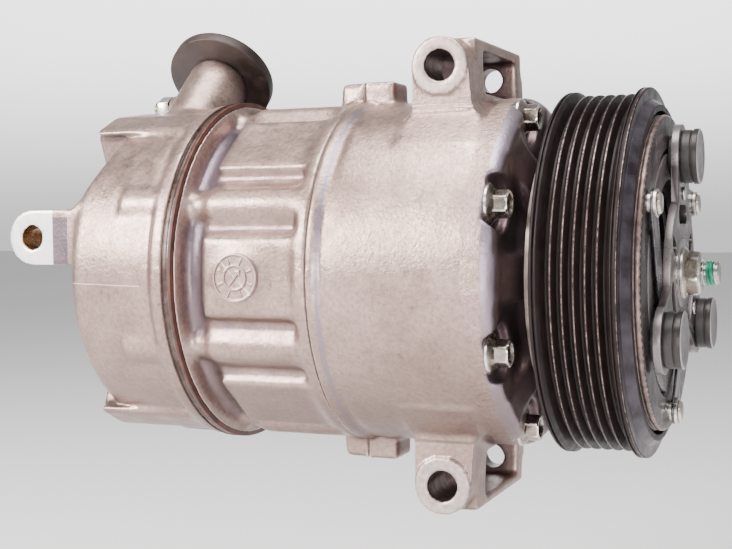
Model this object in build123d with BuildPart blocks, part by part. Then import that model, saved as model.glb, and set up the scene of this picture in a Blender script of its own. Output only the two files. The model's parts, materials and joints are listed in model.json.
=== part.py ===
from build123d import *
import os
from math import asin, cos, degrees, pi, radians, sin, sqrt, tan

# Variable-displacement swash-plate air-conditioning compressor with a belt-driven clutch.
# Frame: origin on the shaft axis in the middle plane of the belt grooves, +X along the shaft
# towards the clutch end, +Z up. The side with the mounting bores faces -Y. Millimetres.

# ---------------------------------------------------------------- driving dimensions
# belt pulley and rotor
groove_count = 6
groove_pitch = 3.56
groove_depth = 2.9
groove_tip_width = 0.7
groove_angle = 40.0
rib_radius = 60.0
flange_radius = 62.0
flange_width = 2.9
flange_slot = 0.5
friction_ring_height = 3.0
friction_ring_width = 2.0
rotor_web = 5.4
rotor_rear_slot = 0.7
rotor_hub_wall = 4.6
coil_cavity_outer = 49.6

# pulley bearing
bearing_bore = 35.0
bearing_outer = 52.0
bearing_width = 18.0
ball_radius = 3.6
ball_count = 12

# field coil
coil_outer_radius = 48.4
coil_inner_radius = 32.4
coil_shell_wall = 1.8
coil_length = 22.5
coil_flange_radius = 46.0
coil_flange_thickness = 2.0

# armature, hub and dampers
armature_radius = 52.7
armature_thickness = 4.8
air_gap = 0.5
hub_sleeve_radius = 11.5
hub_plate_thickness = 2.4
hub_plate_gap = 1.9
damper_circle = 38.7
damper_radius = 8.9
damper_front_length = 3.7
damper_cap_radius = 9.2
damper_cap_thickness = 2.2
damper_lobe_radius = 10.8
rivet_circle = 46.3
rivet_head_radius = 4.5
rivet_head_height = 2.4
leaf_thickness = 0.8
leaf_width = 9.0
lobe_count = 3

# shaft and its end nut
shaft_radius = 9.0
spline_radius = 7.0
thread_radius = 4.0
thread_length = 12.0
nut_flats = 13.0
nut_flange_radius = 8.6
nut_height = 6.4
nut_flange_height = 1.6
shim_thickness = 0.6
running_gap = 0.05

# housing stack, measured along the shaft
clutch_gap = 11.4
front_housing_length = 63.0
block_length = 48.7
head_gasket_thickness = 0.6
discharge_reed_thickness = 0.3
valve_plate_thickness = 1.5
suction_reed_thickness = 0.5
block_gasket_thickness = 1.1
head_drum_length = 40.7
head_rib_overhang = 5.6

# housing radii
barrel_radius = 60.2
joint_radius = 61.0
joint_rim_width = 3.9
joint_groove_width = 3.4
joint_groove_depth = 1.5
gasket_radius = 62.9
head_flange_radius = 62.4
head_flange_width = 5.1
head_drum_radius = 60.0
head_drum_draft = 2.2
housing_wall = 5.7
front_wall = 9.0
front_edge_round = 4.0
nose_length = 35.5
nose_seal_bore = 13.5
nose_root_radius = 30.0
nose_step = 6.0
front_rib_width = 15.0

# cylinders and running gear
cylinder_count = 7
cylinder_circle = 37.5
bore_radius = 14.75
piston_gap = 0.15
max_tilt = 18.0
swash_offset = 18.0
swash_radius = 46.5
swash_half_thickness = 3.5
swash_hub_radius = 24.0
swash_hub_half = 6.0
sleeve_sphere_radius = 16.0
sleeve_half_length = 11.5
shoe_radius = 9.2
socket_gap = 0.3
jaw_half_gap = 8.5
jaw_thickness = 5.0
jaw_half_width = 9.0
jaw_inner_radius = 28.8
bridge_inner_radius = 47.5
piston_guide_length = 29.7
crown_gap = 0.4
lug_plate_radius = 40.0
lug_plate_thickness = 5.5
lug_arm_inner = 18.0
lug_arm_outer = 26.4
lug_arm_length = 11.5
thrust_bearing_thickness = 3.0

# through bolts
bolt_circle = 54.0
bolt_radius = 3.0
bolt_clearance = 0.3
bolt_head_flats = 8.0
bolt_flange_radius = 6.6
bolt_flange_height = 2.8
bolt_head_height = 4.2
bolt_thread_length = 10.8
bolt_pocket_radius = 9.5
bolt_pocket_depth = 4.4
bolt_ridge_radius = 7.2

# outside of the cylinder block
block_core_radius = 56.0
block_panel_radius = 58.4
block_panel_width = 28.0
block_rear_rim = 1.5
block_neck_length = 7.4
block_neck_radius = 54.6
stamp_pad_radius = 8.6
stamp_pad_height = 1.2

# dowel bosses astride the front joint, top and bottom
dowel_boss_rise = 7.7
dowel_boss_width = 15.0
dowel_boss_rear = 10.0
dowel_boss_front = 11.4
dowel_rise = 2.3
dowel_radius = 2.5
dowel_length = 12.0

# front mounting lugs, top and bottom
lug_offset = 26.9
lug_rise_top = 9.7
lug_rise_bottom = 11.0
lug_near_face = 30.6
lug_near_length = 19.0
lug_far_inner = 28.0
lug_far_length = 9.0
lug_near_bore = 10.3
lug_far_bore = 8.8
lug_boss_radius = 9.9
lug_strap = 3.6
lug_side_wall = 3.2
lug_foot_drop = 8.2
lug_shoulder_drop = 3.2

# rear mounting tab on the near side
tab_offset = 19.0
tab_bore_z = 13.4
tab_near_face = 52.0
tab_length = 15.0
tab_bore = 8.6
tab_radius = 9.9
tab_fillet = 4.0

# rear head ports and valves
port_axis_angle = 42.6
port_neck_radius = 12.0
port_bore_radius = 6.5
port_seat_y = 20.0
port_seat_z = 73.6
port_offset = 21.2
port_cap_radius = 21.0
port_cap_thickness = 2.6
port_cap_lip = 2.2
port_cap_lip_width = 2.0
port_plug_length = 9.0
second_port_angle = -10.0
second_port_reach = 74.0
second_neck_radius = 13.5
second_bore_radius = 7.0
relief_offset = 14.5
relief_valve_y = 8.0
relief_valve_z = 62.6
relief_boss_radius = 5.4
relief_hex_flats = 9.0
relief_length = 9.0
control_valve_radius = 8.0
control_valve_depth = 33.0
control_valve_circle = 36.0
control_valve_angle = -61.0

# ---------------------------------------------------------------- places along the shaft
groove_half = groove_count * groove_pitch / 2
pulley_half = groove_half + flange_width
friction_face_x = pulley_half
armature_rear_x = friction_face_x + air_gap
armature_front_x = armature_rear_x + armature_thickness
hub_plate_x = armature_front_x + hub_plate_gap
hub_plate_front_x = hub_plate_x + hub_plate_thickness
damper_cap_x = hub_plate_front_x + damper_front_length
nut_x = hub_plate_front_x
shaft_tip_x = nut_x + thread_length
front_face_x = -pulley_half - clutch_gap
joint_x = front_face_x - front_housing_length
block_rear_x = joint_x - block_length
suction_reed_x = block_rear_x - block_gasket_thickness
valve_plate_x = suction_reed_x - suction_reed_thickness
discharge_reed_x = valve_plate_x - valve_plate_thickness
head_gasket_x = discharge_reed_x - discharge_reed_thickness
head_front_x = head_gasket_x - head_gasket_thickness
drum_rear_x = head_front_x - head_drum_length
rib_rear_x = drum_rear_x - head_rib_overhang
chamber_front_x = front_face_x - front_wall
swash_x = joint_x + swash_offset
chamber_radius = barrel_radius - housing_wall
block_core_front_x = swash_x - 22.0
bolt_seat_x = front_face_x - bolt_pocket_depth
nose_front_x = front_face_x + nose_length
nose_radius = bearing_bore / 2
spline_start_x = nose_front_x - 10.1
lug_bore_x = front_face_x - lug_offset
lug_bore_z_top = barrel_radius + lug_rise_top
lug_bore_z_bottom = -barrel_radius - lug_rise_bottom
lug_foot_z = barrel_radius - lug_foot_drop
lug_shoulder_z = barrel_radius - lug_shoulder_drop
dowel_circle = barrel_radius + dowel_rise
dowel_boss_height = barrel_radius + dowel_boss_rise
port_x = head_front_x - port_offset
tab_bore_x = drum_rear_x - tab_offset
rotor_hub_radius = bearing_outer / 2 + rotor_hub_wall
stroke_half = cylinder_circle * sin(radians(max_tilt))
piston_radius = bore_radius - piston_gap
crown_x = block_rear_x + crown_gap + stroke_half
bearing_centre_x = -1.0
half_pitch = 180.0 / cylinder_count
lobe_start = 90.0
rivet_start = 30.0

os.makedirs("parts", exist_ok=True)
pieces = []


def finish(builder, name):
    """Label a finished piece and write its STEP file."""
    builder.part.label = name
    export_step(builder.part, f"parts/{name}.step")
    pieces.append(name)


def turned(profile, mode=Mode.ADD):
    """Turn a closed profile of (x, radius) points about the shaft axis."""
    with BuildSketch(Plane.XY) as outline:
        with BuildLine():
            Polyline(*profile, close=True)
        make_face()
    revolve(outline.sketch, axis=Axis.X, mode=mode)


def ring(x0, x1, inner, outer, mode=Mode.ADD):
    """A plain ring or disc about the shaft axis, from x0 to x1."""
    with BuildSketch(Plane.YZ.offset(x0)) as outline:
        Circle(outer)
        if inner:
            Circle(inner, mode=Mode.SUBTRACT)
    extrude(outline.sketch, amount=x1 - x0, mode=mode)


def holes(x0, x1, circle, radius, count, start=0.0, mode=Mode.SUBTRACT):
    """Round holes or pegs along the shaft direction, spread on a circle."""
    with BuildSketch(Plane.YZ.offset(x0)) as outline:
        with PolarLocations(circle, count, start_angle=start):
            Circle(radius)
    extrude(outline.sketch, amount=x1 - x0, mode=mode)


def rod(plane, radius, length, mode=Mode.ADD):
    """A round bar or hole that starts on a plane and follows its normal."""
    with BuildSketch(plane) as outline:
        Circle(radius)
    extrude(outline.sketch, amount=length, mode=mode)


# ---------------------------------------------------------------- front housing
def lug(sign, bore_z):
    """A mounting lug on the front housing: near boss, far ear and an open frame between them."""
    far_outer = lug_far_inner + lug_far_length
    left = lug_bore_x - lug_boss_radius
    right = lug_bore_x + lug_boss_radius
    crown = abs(bore_z) + lug_boss_radius
    span = far_outer + lug_near_face
    with BuildSketch(Plane.XZ.offset(lug_near_face)) as block:
        with BuildLine():
            Polyline(
                (left, sign * abs(bore_z)),
                (left, sign * lug_shoulder_z),
                (left - 1.5, sign * lug_foot_z),
                (right + 5.0, sign * lug_foot_z),
                (right + 1.0, sign * lug_shoulder_z),
                (right, sign * abs(bore_z)),
                close=True,
            )
        make_face()
        with Locations((lug_bore_x, bore_z)):
            Circle(lug_boss_radius)
    extrude(block.sketch, amount=-span)
    # square shoulders of the strap and of the far ear
    with BuildSketch(Plane.XZ.offset(lug_near_face - lug_near_length / 2)) as strap:
        with Locations(((lug_bore_x + right) / 2, sign * (crown + abs(bore_z)) / 2)):
            Rectangle(right - lug_bore_x, crown - abs(bore_z))
    extrude(strap.sketch, amount=-(span - lug_near_length / 2 - 2.0))


def lug_cuts(sign, bore_z):
    """Open the frame of a lug towards the clutch and drill its two bores."""
    right = lug_bore_x + lug_boss_radius
    crown = abs(bore_z) + lug_boss_radius
    pocket_rear = lug_bore_x - lug_boss_radius + lug_side_wall
    pocket_near = lug_near_face - lug_near_length
    with BuildSketch(Plane.XZ.offset(pocket_near)) as window:
        with BuildLine():
            Polyline(
                (pocket_rear, sign * (crown - lug_strap - 2.5)),
                (pocket_rear + 3.0, sign * (crown - lug_strap)),
                (right + 8.0, sign * (crown - lug_strap)),
                (right + 8.0, sign * (barrel_radius + 1.6)),
                (pocket_rear, sign * (barrel_radius + 1.6)),
                close=True,
            )
        make_face()
    extrude(window.sketch, amount=-(pocket_near + lug_far_inner), mode=Mode.SUBTRACT)
    near_plane = Plane(origin=(lug_bore_x, -lug_near_face, bore_z), z_dir=(0, 1, 0))
    rod(near_plane, lug_near_bore / 2, lug_near_length, mode=Mode.SUBTRACT)
    far_plane = Plane(origin=(lug_bore_x, lug_far_inner, bore_z), z_dir=(0, 1, 0))
    rod(far_plane, lug_far_bore / 2, lug_far_length, mode=Mode.SUBTRACT)


rim_front_x = joint_x + joint_rim_width
groove_front_x = rim_front_x + joint_groove_width
nose_root_x = front_face_x + nose_step
with BuildPart() as front_housing:
    turned(
        [
            (joint_x, 0),
            (joint_x, joint_radius),
            (rim_front_x - 0.8, joint_radius),
            (rim_front_x, joint_radius - 0.8),
            (rim_front_x + 0.6, joint_radius - joint_groove_depth),
            (groove_front_x - 1.2, joint_radius - joint_groove_depth),
            (groove_front_x, barrel_radius),
            (front_face_x - front_edge_round, barrel_radius),
            (front_face_x - 1.2, barrel_radius - 1.2),
            (front_face_x, barrel_radius - 3.0),
            (front_face_x, nose_root_radius + 6.0),
            (nose_root_x, nose_root_radius),
            (nose_root_x, nose_radius + 2.6),
            (bearing_centre_x - bearing_width / 2, nose_radius + 2.6),
            (bearing_centre_x - bearing_width / 2, nose_radius),
            (nose_front_x, nose_radius),
            (nose_front_x, 0),
        ]
    )
    # radial ribs between the bolts, from the rim up to the nose
    rib_top_x = nose_root_x - 1.0
    for index in range(cylinder_count):
        angle = 180.0 + index * 2 * half_pitch
        rib_plane = Plane(
            origin=(front_face_x - 2.0, 0, 0),
            x_dir=(0, cos(radians(angle)), sin(radians(angle))),
            z_dir=(1, 0, 0),
        )
        with BuildSketch(rib_plane):
            with Locations(((nose_root_radius + barrel_radius - 3.0) / 2, 0)):
                Rectangle(barrel_radius - 3.0 - nose_root_radius, front_rib_width)
        extrude(amount=rib_top_x - front_face_x + 2.0)
    turned(
        [
            (front_face_x + 0.6, barrel_radius + 1.0),
            (front_face_x + 0.6, barrel_radius - 8.0),
            (rib_top_x, nose_root_radius + 12.0),
            (rib_top_x + 1.5, nose_root_radius + 12.0),
            (rib_top_x + 1.5, barrel_radius + 1.0),
        ],
        mode=Mode.SUBTRACT,
    )
    # bolt pockets cut into the front rim
    holes(bolt_seat_x, front_face_x + nose_step, bolt_circle, bolt_pocket_radius, cylinder_count)
    lug(1, lug_bore_z_top)
    lug(-1, lug_bore_z_bottom)
    # facets on the barrel beside the lug feet
    for sign in (1, -1):
        with BuildSketch(Plane.YZ.offset(lug_bore_x - lug_boss_radius - 1.5)):
            with BuildLine():
                Polyline(
                    (-lug_near_face, sign * 54.0),
                    (-43.4, sign * 42.6),
                    (-40.0, sign * 39.0),
                    (-lug_near_face + 4.0, sign * 39.0),
                    close=True,
                )
            make_face()
        extrude(amount=2 * lug_boss_radius + 6.5)
        # front half of the dowel bosses
        with BuildSketch(Plane.YZ.offset(joint_x)):
            with Locations((0, sign * (dowel_boss_height + barrel_radius) / 2 - sign * 3.0)):
                Rectangle(dowel_boss_width, dowel_boss_height - barrel_radius + 6.0)
        extrude(amount=dowel_boss_front)
    # crank chamber, with the bolts running in ridges along its wall
    with BuildSketch(Plane.YZ.offset(joint_x)):
        Circle(chamber_radius)
        with PolarLocations(bolt_circle + 0.4, cylinder_count):
            Circle(bolt_radius + 3.4, mode=Mode.SUBTRACT)
    extrude(amount=chamber_front_x - joint_x, mode=Mode.SUBTRACT)
    # seat of the front needle bearing, seal bore and shaft passage
    ring(chamber_front_x - 1.0, chamber_front_x + 12.0, 0, 13.0, mode=Mode.SUBTRACT)
    ring(chamber_front_x, nose_front_x + 1.0, 0, shaft_radius + 1.2, mode=Mode.SUBTRACT)
    ring(nose_front_x - 30.5, nose_front_x + 1.0, 0, nose_seal_bore, mode=Mode.SUBTRACT)
    # grooves for the seal ring, the coil ring, the bearing ring and the joint seal
    bearing_front_x = bearing_centre_x + bearing_width / 2
    seal_groove_x = nose_front_x - 20.3
    coil_groove_x = nose_root_x + coil_flange_thickness
    ring(seal_groove_x, seal_groove_x + 1.4, 0, nose_seal_bore + 0.9, mode=Mode.SUBTRACT)
    ring(coil_groove_x, coil_groove_x + 1.3, nose_radius + 1.7, nose_radius + 4.0, mode=Mode.SUBTRACT)
    ring(bearing_front_x + 0.05, bearing_front_x + 1.35, nose_radius - 0.9, nose_radius + 1.0,
         mode=Mode.SUBTRACT)
    ring(joint_x, joint_x + 1.2, joint_radius - 2.8, joint_radius - 1.2, mode=Mode.SUBTRACT)
    holes(bolt_seat_x - front_housing_length, bolt_seat_x + 1.0, bolt_circle,
          bolt_radius + bolt_clearance, cylinder_count)
    lug_cuts(1, lug_bore_z_top)
    lug_cuts(-1, lug_bore_z_bottom)
    for sign in (1, -1):
        dowel_plane = Plane(origin=(joint_x, 0, sign * dowel_circle), z_dir=(1, 0, 0))
        rod(dowel_plane, dowel_radius, dowel_length / 2, mode=Mode.SUBTRACT)
finish(front_housing, "front_housing")

# ---------------------------------------------------------------- cylinder block
with BuildPart() as cylinder_block:
    ring(block_rear_x, joint_x, 0, block_core_radius)
    ring(joint_x - 4.8, joint_x, 0, joint_radius)
    ring(block_rear_x, block_rear_x + block_rear_rim, 0, joint_radius + 0.5)
    neck_x = block_rear_x + block_rear_rim + block_neck_length
    # ridges round the through bolts
    ridge_front = joint_x - 4.8
    holes(neck_x, ridge_front, bolt_circle - 0.3, bolt_ridge_radius, cylinder_count, mode=Mode.ADD)
    holes(block_rear_x, neck_x, bolt_circle, bolt_ridge_radius - 2.2, cylinder_count, mode=Mode.ADD)
    # flat panels over the cylinders
    with BuildSketch(Plane.YZ.offset(neck_x)):
        with PolarLocations(block_panel_radius - 10.0, cylinder_count, start_angle=180.0):
            Rectangle(20.0, block_panel_width)
    extrude(amount=ridge_front - neck_x)
    # waist between the panels and the rear rim
    waist_rear = block_rear_x + block_rear_rim
    with BuildSketch(Plane.YZ.offset(waist_rear)):
        Circle(joint_radius + 6.0)
        Circle(block_neck_radius, mode=Mode.SUBTRACT)
        with PolarLocations(bolt_circle, cylinder_count):
            Circle(bolt_ridge_radius - 2.2, mode=Mode.SUBTRACT)
    extrude(amount=block_neck_length, mode=Mode.SUBTRACT)
    # rear half of the dowel bosses
    for sign in (1, -1):
        with BuildSketch(Plane.YZ.offset(joint_x - dowel_boss_rear)):
            with Locations((0, sign * (dowel_boss_height + barrel_radius) / 2 - sign * 3.0)):
                Rectangle(dowel_boss_width, dowel_boss_height - barrel_radius + 6.0)
        extrude(amount=dowel_boss_rear)
    # round pad on the panel that faces the mounting side
    pad_plane = Plane(
        origin=((block_rear_x + joint_x) / 2 - 1.0, -block_panel_radius + 2.0, 0), z_dir=(0, -1, 0)
    )
    rod(pad_plane, stamp_pad_radius, stamp_pad_height + 2.0)
    # casting lug on top, near the rear rim
    with BuildSketch(Plane.YZ.offset(waist_rear + 2.0)):
        with Locations((0, block_core_radius)):
            Rectangle(6.0, 6.0)
    extrude(amount=6.0)
    # recess in front of the cylinders, cylinder bores and shaft passage
    with BuildSketch(Plane.YZ.offset(joint_x)):
        Circle(chamber_radius)
        with PolarLocations(bolt_circle + 0.4, cylinder_count):
            Circle(bolt_radius + 3.4, mode=Mode.SUBTRACT)
    extrude(amount=block_core_front_x - joint_x, mode=Mode.SUBTRACT)
    holes(block_rear_x, joint_x, cylinder_circle, bore_radius, cylinder_count, start=180.0)
    holes(block_rear_x, joint_x, bolt_circle, bolt_radius + bolt_clearance, cylinder_count)
    ring(block_core_front_x - 18.0, joint_x, 0, shaft_radius + 4.1, mode=Mode.SUBTRACT)
    ring(block_core_front_x - 24.0, joint_x, 0, shaft_radius + 1.5, mode=Mode.SUBTRACT)
    # lightening pocket on the gasket side
    ring(block_rear_x, block_rear_x + 10.0, 0, 12.0, mode=Mode.SUBTRACT)
    for sign in (1, -1):
        dowel_plane = Plane(origin=(joint_x, 0, sign * dowel_circle), z_dir=(-1, 0, 0))
        rod(dowel_plane, dowel_radius + 0.1, dowel_length / 2, mode=Mode.SUBTRACT)
finish(cylinder_block, "cylinder_block")

# ---------------------------------------------------------------- gaskets, reeds and valve plate
suction_hole_circle = cylinder_circle + 2.5
discharge_hole_circle = cylinder_circle - 12.0
suction_hole_radius = 3.0
discharge_hole_radius = 2.3
discharge_cavity_radius = 28.2
suction_cavity_inner = 30.6
suction_cavity_outer = 47.5


def plate_disc(x0, x1, outer):
    """Round plate of the valve stack with its bolt holes."""
    ring(x0, x1, 0, outer)
    holes(x0, x1, bolt_circle, bolt_radius + bolt_clearance, cylinder_count)


def reed_slots(x0, thickness, root, tip):
    """U-shaped cuts that free one reed tongue for each cylinder."""
    length = abs(tip - root)
    middle = (tip + root) / 2
    shift = -2.2 if tip > root else 2.2
    for index in range(cylinder_count):
        angle = radians(180.0 + index * 2 * half_pitch)
        radial = (0, cos(angle), sin(angle))
        plane = Plane(origin=(x0, middle * cos(angle), middle * sin(angle)), x_dir=radial, z_dir=(1, 0, 0))
        with BuildSketch(plane) as cut:
            SlotCenterToCenter(length, 9.6)
            with Locations((shift, 0)):
                SlotCenterToCenter(length, 7.6, mode=Mode.SUBTRACT)
            with Locations((shift * 3.4, 0)):
                Rectangle(8.0, 9.8, mode=Mode.SUBTRACT)
        extrude(cut.sketch, amount=thickness, mode=Mode.SUBTRACT)


with BuildPart() as block_gasket:
    plate_disc(suction_reed_x, block_rear_x, gasket_radius)
    holes(suction_reed_x, block_rear_x, cylinder_circle, bore_radius + 0.2, cylinder_count, start=180.0)
finish(block_gasket, "block_gasket")

with BuildPart() as suction_reeds:
    plate_disc(valve_plate_x, suction_reed_x, gasket_radius - 0.3)
    holes(valve_plate_x, suction_reed_x, discharge_hole_circle, discharge_hole_radius,
          cylinder_count, start=180.0)
    reed_slots(valve_plate_x, suction_reed_thickness, suction_hole_circle - 6.0, suction_hole_circle)
finish(suction_reeds, "suction_reeds")

with BuildPart() as valve_plate:
    plate_disc(discharge_reed_x, valve_plate_x, gasket_radius - 0.3)
    holes(discharge_reed_x, valve_plate_x, suction_hole_circle, suction_hole_radius,
          cylinder_count, start=180.0)
    holes(discharge_reed_x, valve_plate_x, discharge_hole_circle, discharge_hole_radius,
          cylinder_count, start=180.0)
finish(valve_plate, "valve_plate")

with BuildPart() as discharge_reeds:
    plate_disc(head_gasket_x, discharge_reed_x, gasket_radius - 0.3)
    holes(head_gasket_x, discharge_reed_x, suction_hole_circle, suction_hole_radius,
          cylinder_count, start=180.0)
    reed_slots(head_gasket_x, discharge_reed_thickness, discharge_hole_circle - 8.0, discharge_hole_circle - 1.4)
finish(discharge_reeds, "discharge_reeds")

with BuildPart() as head_gasket:
    plate_disc(head_front_x, head_gasket_x, gasket_radius)
    ring(head_front_x, head_gasket_x, 0, discharge_cavity_radius, mode=Mode.SUBTRACT)
    with BuildSketch(Plane.YZ.offset(head_front_x)):
        Circle(suction_cavity_outer)
        Circle(suction_cavity_inner, mode=Mode.SUBTRACT)
        with PolarLocations(cylinder_circle, cylinder_count):
            Rectangle(24.0, 3.0, mode=Mode.SUBTRACT)
    extrude(amount=head_gasket_thickness, mode=Mode.SUBTRACT)
finish(head_gasket, "head_gasket")

# ---------------------------------------------------------------- rear head
port_direction = (0, cos(radians(port_axis_angle)), sin(radians(port_axis_angle)))
second_direction = (0, cos(radians(second_port_angle)), sin(radians(second_port_angle)))
second_x = port_x - 2.0
control_y = control_valve_circle * cos(radians(control_valve_angle))
control_z = control_valve_circle * sin(radians(control_valve_angle))


def along(origin, direction, distance):
    """Point at a distance from an origin, along a direction."""
    return tuple(o + d * distance for o, d in zip(origin, direction))


port_seat = (port_x, port_seat_y, port_seat_z)
second_seat = along((second_x, 0, 0), second_direction, second_port_reach)

with BuildPart() as rear_head:
    turned(
        [
            (head_front_x, 0),
            (head_front_x, head_flange_radius),
            (head_front_x - head_flange_width + 0.8, head_flange_radius),
            (head_front_x - head_flange_width, head_flange_radius - 0.8),
            (head_front_x - head_flange_width - 1.0, head_drum_radius - 0.6),
            (head_front_x - head_flange_width - 4.0, head_drum_radius),
            (head_front_x - 20.0, head_drum_radius - 0.4),
            (drum_rear_x + 3.2, head_drum_radius - head_drum_draft),
            (drum_rear_x + 1.0, head_drum_radius - head_drum_draft - 1.1),
            (drum_rear_x, head_drum_radius - head_drum_draft - 3.4),
            (drum_rear_x, 0),
        ]
    )
    # raised bosses over the ends of the through bolts
    boss_rear_x = head_front_x - 20.3
    holes(boss_rear_x, head_front_x, bolt_circle - 0.6, 8.2, cylinder_count, mode=Mode.ADD)
    # slanted facet on the upper rear edge, mounting side
    facet_plane = Plane(
        origin=(drum_rear_x + 1.0, -head_drum_radius * cos(radians(26.0)), head_drum_radius * sin(radians(26.0))),
        z_dir=(-0.818, -0.242, 0.522),
    )
    with BuildSketch(facet_plane):
        Rectangle(60.0, 60.0)
    extrude(amount=20.0, mode=Mode.SUBTRACT)
    # two long ribs that reach past the rear face
    for sign in (1, -1):
        with BuildSketch(Plane.YZ.offset(rib_rear_x)):
            with BuildLine():
                Polyline(
                    (-29.0, sign * 50.4),
                    (-20.0, sign * 56.5),
                    (1.5, sign * (head_drum_radius - 0.4)),
                    (1.5, sign * 30.0),
                    (-24.0, sign * 38.0),
                    close=True,
                )
            make_face()
        extrude(amount=head_front_x - head_flange_width - rib_rear_x)
    # mounting tab behind the head
    with BuildSketch(Plane.XZ.offset(tab_near_face)):
        with Locations((tab_bore_x, tab_bore_z)):
            Circle(tab_radius)
        with Locations(((tab_bore_x + drum_rear_x + 6.0) / 2, tab_bore_z)):
            Rectangle(drum_rear_x + 6.0 - tab_bore_x, 2 * tab_radius)
        with Locations((drum_rear_x + 4.0, tab_bore_z)):
            Rectangle(8.0, 2 * tab_radius + 2 * tab_fillet - 4.0)
        for sign in (1, -1):
            with Locations((drum_rear_x - tab_fillet / 2, tab_bore_z + sign * (tab_radius + tab_fillet / 2))):
                Rectangle(tab_fillet, tab_fillet)
            with Locations((drum_rear_x - tab_fillet, tab_bore_z + sign * (tab_radius + tab_fillet))):
                Circle(tab_fillet, mode=Mode.SUBTRACT)
    extrude(amount=-tab_length)
    with BuildSketch(Plane.YZ.offset(drum_rear_x - 12.0)):
        with Locations((-tab_near_face + tab_length + 0.5, tab_bore_z)):
            Rectangle(tab_length + 12.0, 5.0)
    extrude(amount=14.0)
    # necks of the two ports and boss of the relief valve
    port_plane = Plane(origin=port_seat, z_dir=tuple(-c for c in port_direction))
    rod(port_plane, port_neck_radius, 36.0)
    second_plane = Plane(origin=second_seat, z_dir=tuple(-c for c in second_direction))
    rod(second_plane, second_neck_radius, second_port_reach - 50.0)
    relief_x = port_x - relief_offset
    relief_plane = Plane(origin=(relief_x, relief_valve_y, relief_valve_z), z_dir=(1, 0, 0))
    rod(relief_plane, relief_boss_radius, 9.0)
    rod(Plane(origin=relief_plane.origin, z_dir=(-1, 0, 0)), relief_boss_radius + 0.8, 20.0,
        mode=Mode.SUBTRACT)
    # discharge and suction chambers, with tubes for the second port and the control valve
    suction_depth = 27.0
    discharge_depth = 25.0
    ring(head_front_x - discharge_depth, head_front_x, 0, discharge_cavity_radius, mode=Mode.SUBTRACT)
    ring(head_front_x - suction_depth, head_front_x, suction_cavity_inner, suction_cavity_outer,
         mode=Mode.SUBTRACT)
    tube_plane = Plane(origin=along((second_x, 0, 0), second_direction, 26.0), z_dir=second_direction)
    rod(tube_plane, second_bore_radius + 2.6, 24.0)
    valve_floor_x = drum_rear_x + control_valve_depth
    control_plane = Plane(origin=(drum_rear_x, control_y, control_z), z_dir=(1, 0, 0))
    rod(control_plane, control_valve_radius + 2.8, control_valve_depth + 2.0)
    # bores
    rod(port_plane, port_bore_radius, 45.0, mode=Mode.SUBTRACT)
    rod(second_plane, second_bore_radius, second_port_reach - 24.0, mode=Mode.SUBTRACT)
    rod(control_plane, control_valve_radius + 0.1, control_valve_depth, mode=Mode.SUBTRACT)
    relief_bore = Plane(origin=(relief_x, relief_valve_y, relief_valve_z), z_dir=(1, 0, 0))
    rod(relief_bore, 3.5, 5.5, mode=Mode.SUBTRACT)
    tab_plane = Plane(origin=(tab_bore_x, -tab_near_face, tab_bore_z), z_dir=(0, 1, 0))
    rod(tab_plane, tab_bore / 2, tab_length, mode=Mode.SUBTRACT)
    holes(head_front_x - bolt_thread_length - 0.6, head_front_x, bolt_circle, bolt_radius + 0.1,
          cylinder_count)
finish(rear_head, "rear_head")

# ---------------------------------------------------------------- seals, dowels and through bolts
with BuildPart() as housing_o_ring:
    ring(joint_x + 0.05, joint_x + 1.15, joint_radius - 2.7, joint_radius - 1.3)
finish(housing_o_ring, "housing_o_ring")

with BuildPart() as locating_dowels:
    for sign in (1, -1):
        dowel_plane = Plane(origin=(joint_x - dowel_length / 2 + 0.2, 0, sign * dowel_circle), z_dir=(1, 0, 0))
        rod(dowel_plane, dowel_radius - 0.1, dowel_length - 0.4)
finish(locating_dowels, "locating_dowels")

with BuildPart() as through_bolts:
    bolt_end_x = head_front_x - bolt_thread_length
    holes(bolt_end_x, bolt_seat_x, bolt_circle, bolt_radius, cylinder_count, mode=Mode.ADD)
    flange_top_x = bolt_seat_x + bolt_flange_height
    for index in range(cylinder_count):
        angle = radians(index * 2 * half_pitch)
        centre = (bolt_circle * cos(angle), bolt_circle * sin(angle))
        with BuildSketch(Plane.YZ.offset(bolt_seat_x)):
            with Locations(centre):
                Circle(bolt_flange_radius)
        extrude(amount=bolt_flange_height, taper=24.0)
        with BuildSketch(Plane.YZ.offset(bolt_seat_x + 1.0)):
            with Locations(centre):
                RegularPolygon(bolt_head_flats / 2, 6, major_radius=False, rotation=index * 17.0)
        extrude(amount=bolt_flange_height + bolt_head_height - 1.0)
        with BuildSketch(Plane.YZ.offset(flange_top_x + bolt_head_height - 1.2)):
            with Locations(centre):
                Circle(bolt_head_flats / 2 - 1.2)
        extrude(amount=1.3, mode=Mode.SUBTRACT)
finish(through_bolts, "through_bolts")

# ---------------------------------------------------------------- shaft, its bearings and seal
shaft_rear_x = block_core_front_x - 21.0
needle_length = 12.0
bearing_gap = 0.25


def needle_bearing(x0, x1, outer):
    """Drawn-cup needle bearing about the shaft axis."""
    inner = shaft_radius + bearing_gap
    ring(x0, x1, outer - 1.6, outer)
    ring(x0, x0 + 1.0, inner + 0.4, outer)
    ring(x1 - 1.0, x1, inner + 0.4, outer)
    needle_radius = (outer - 1.6 - inner) / 2 + 0.15
    holes(x0 + 0.5, x1 - 0.5, inner + needle_radius, needle_radius, 20, mode=Mode.ADD)


with BuildPart() as front_needle_bearing:
    needle_bearing(chamber_front_x, chamber_front_x + needle_length - 0.2, 12.9)
finish(front_needle_bearing, "front_needle_bearing")

with BuildPart() as rear_needle_bearing:
    needle_bearing(block_core_front_x - 16.0, block_core_front_x, shaft_radius + 4.0)
finish(rear_needle_bearing, "rear_needle_bearing")

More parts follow.
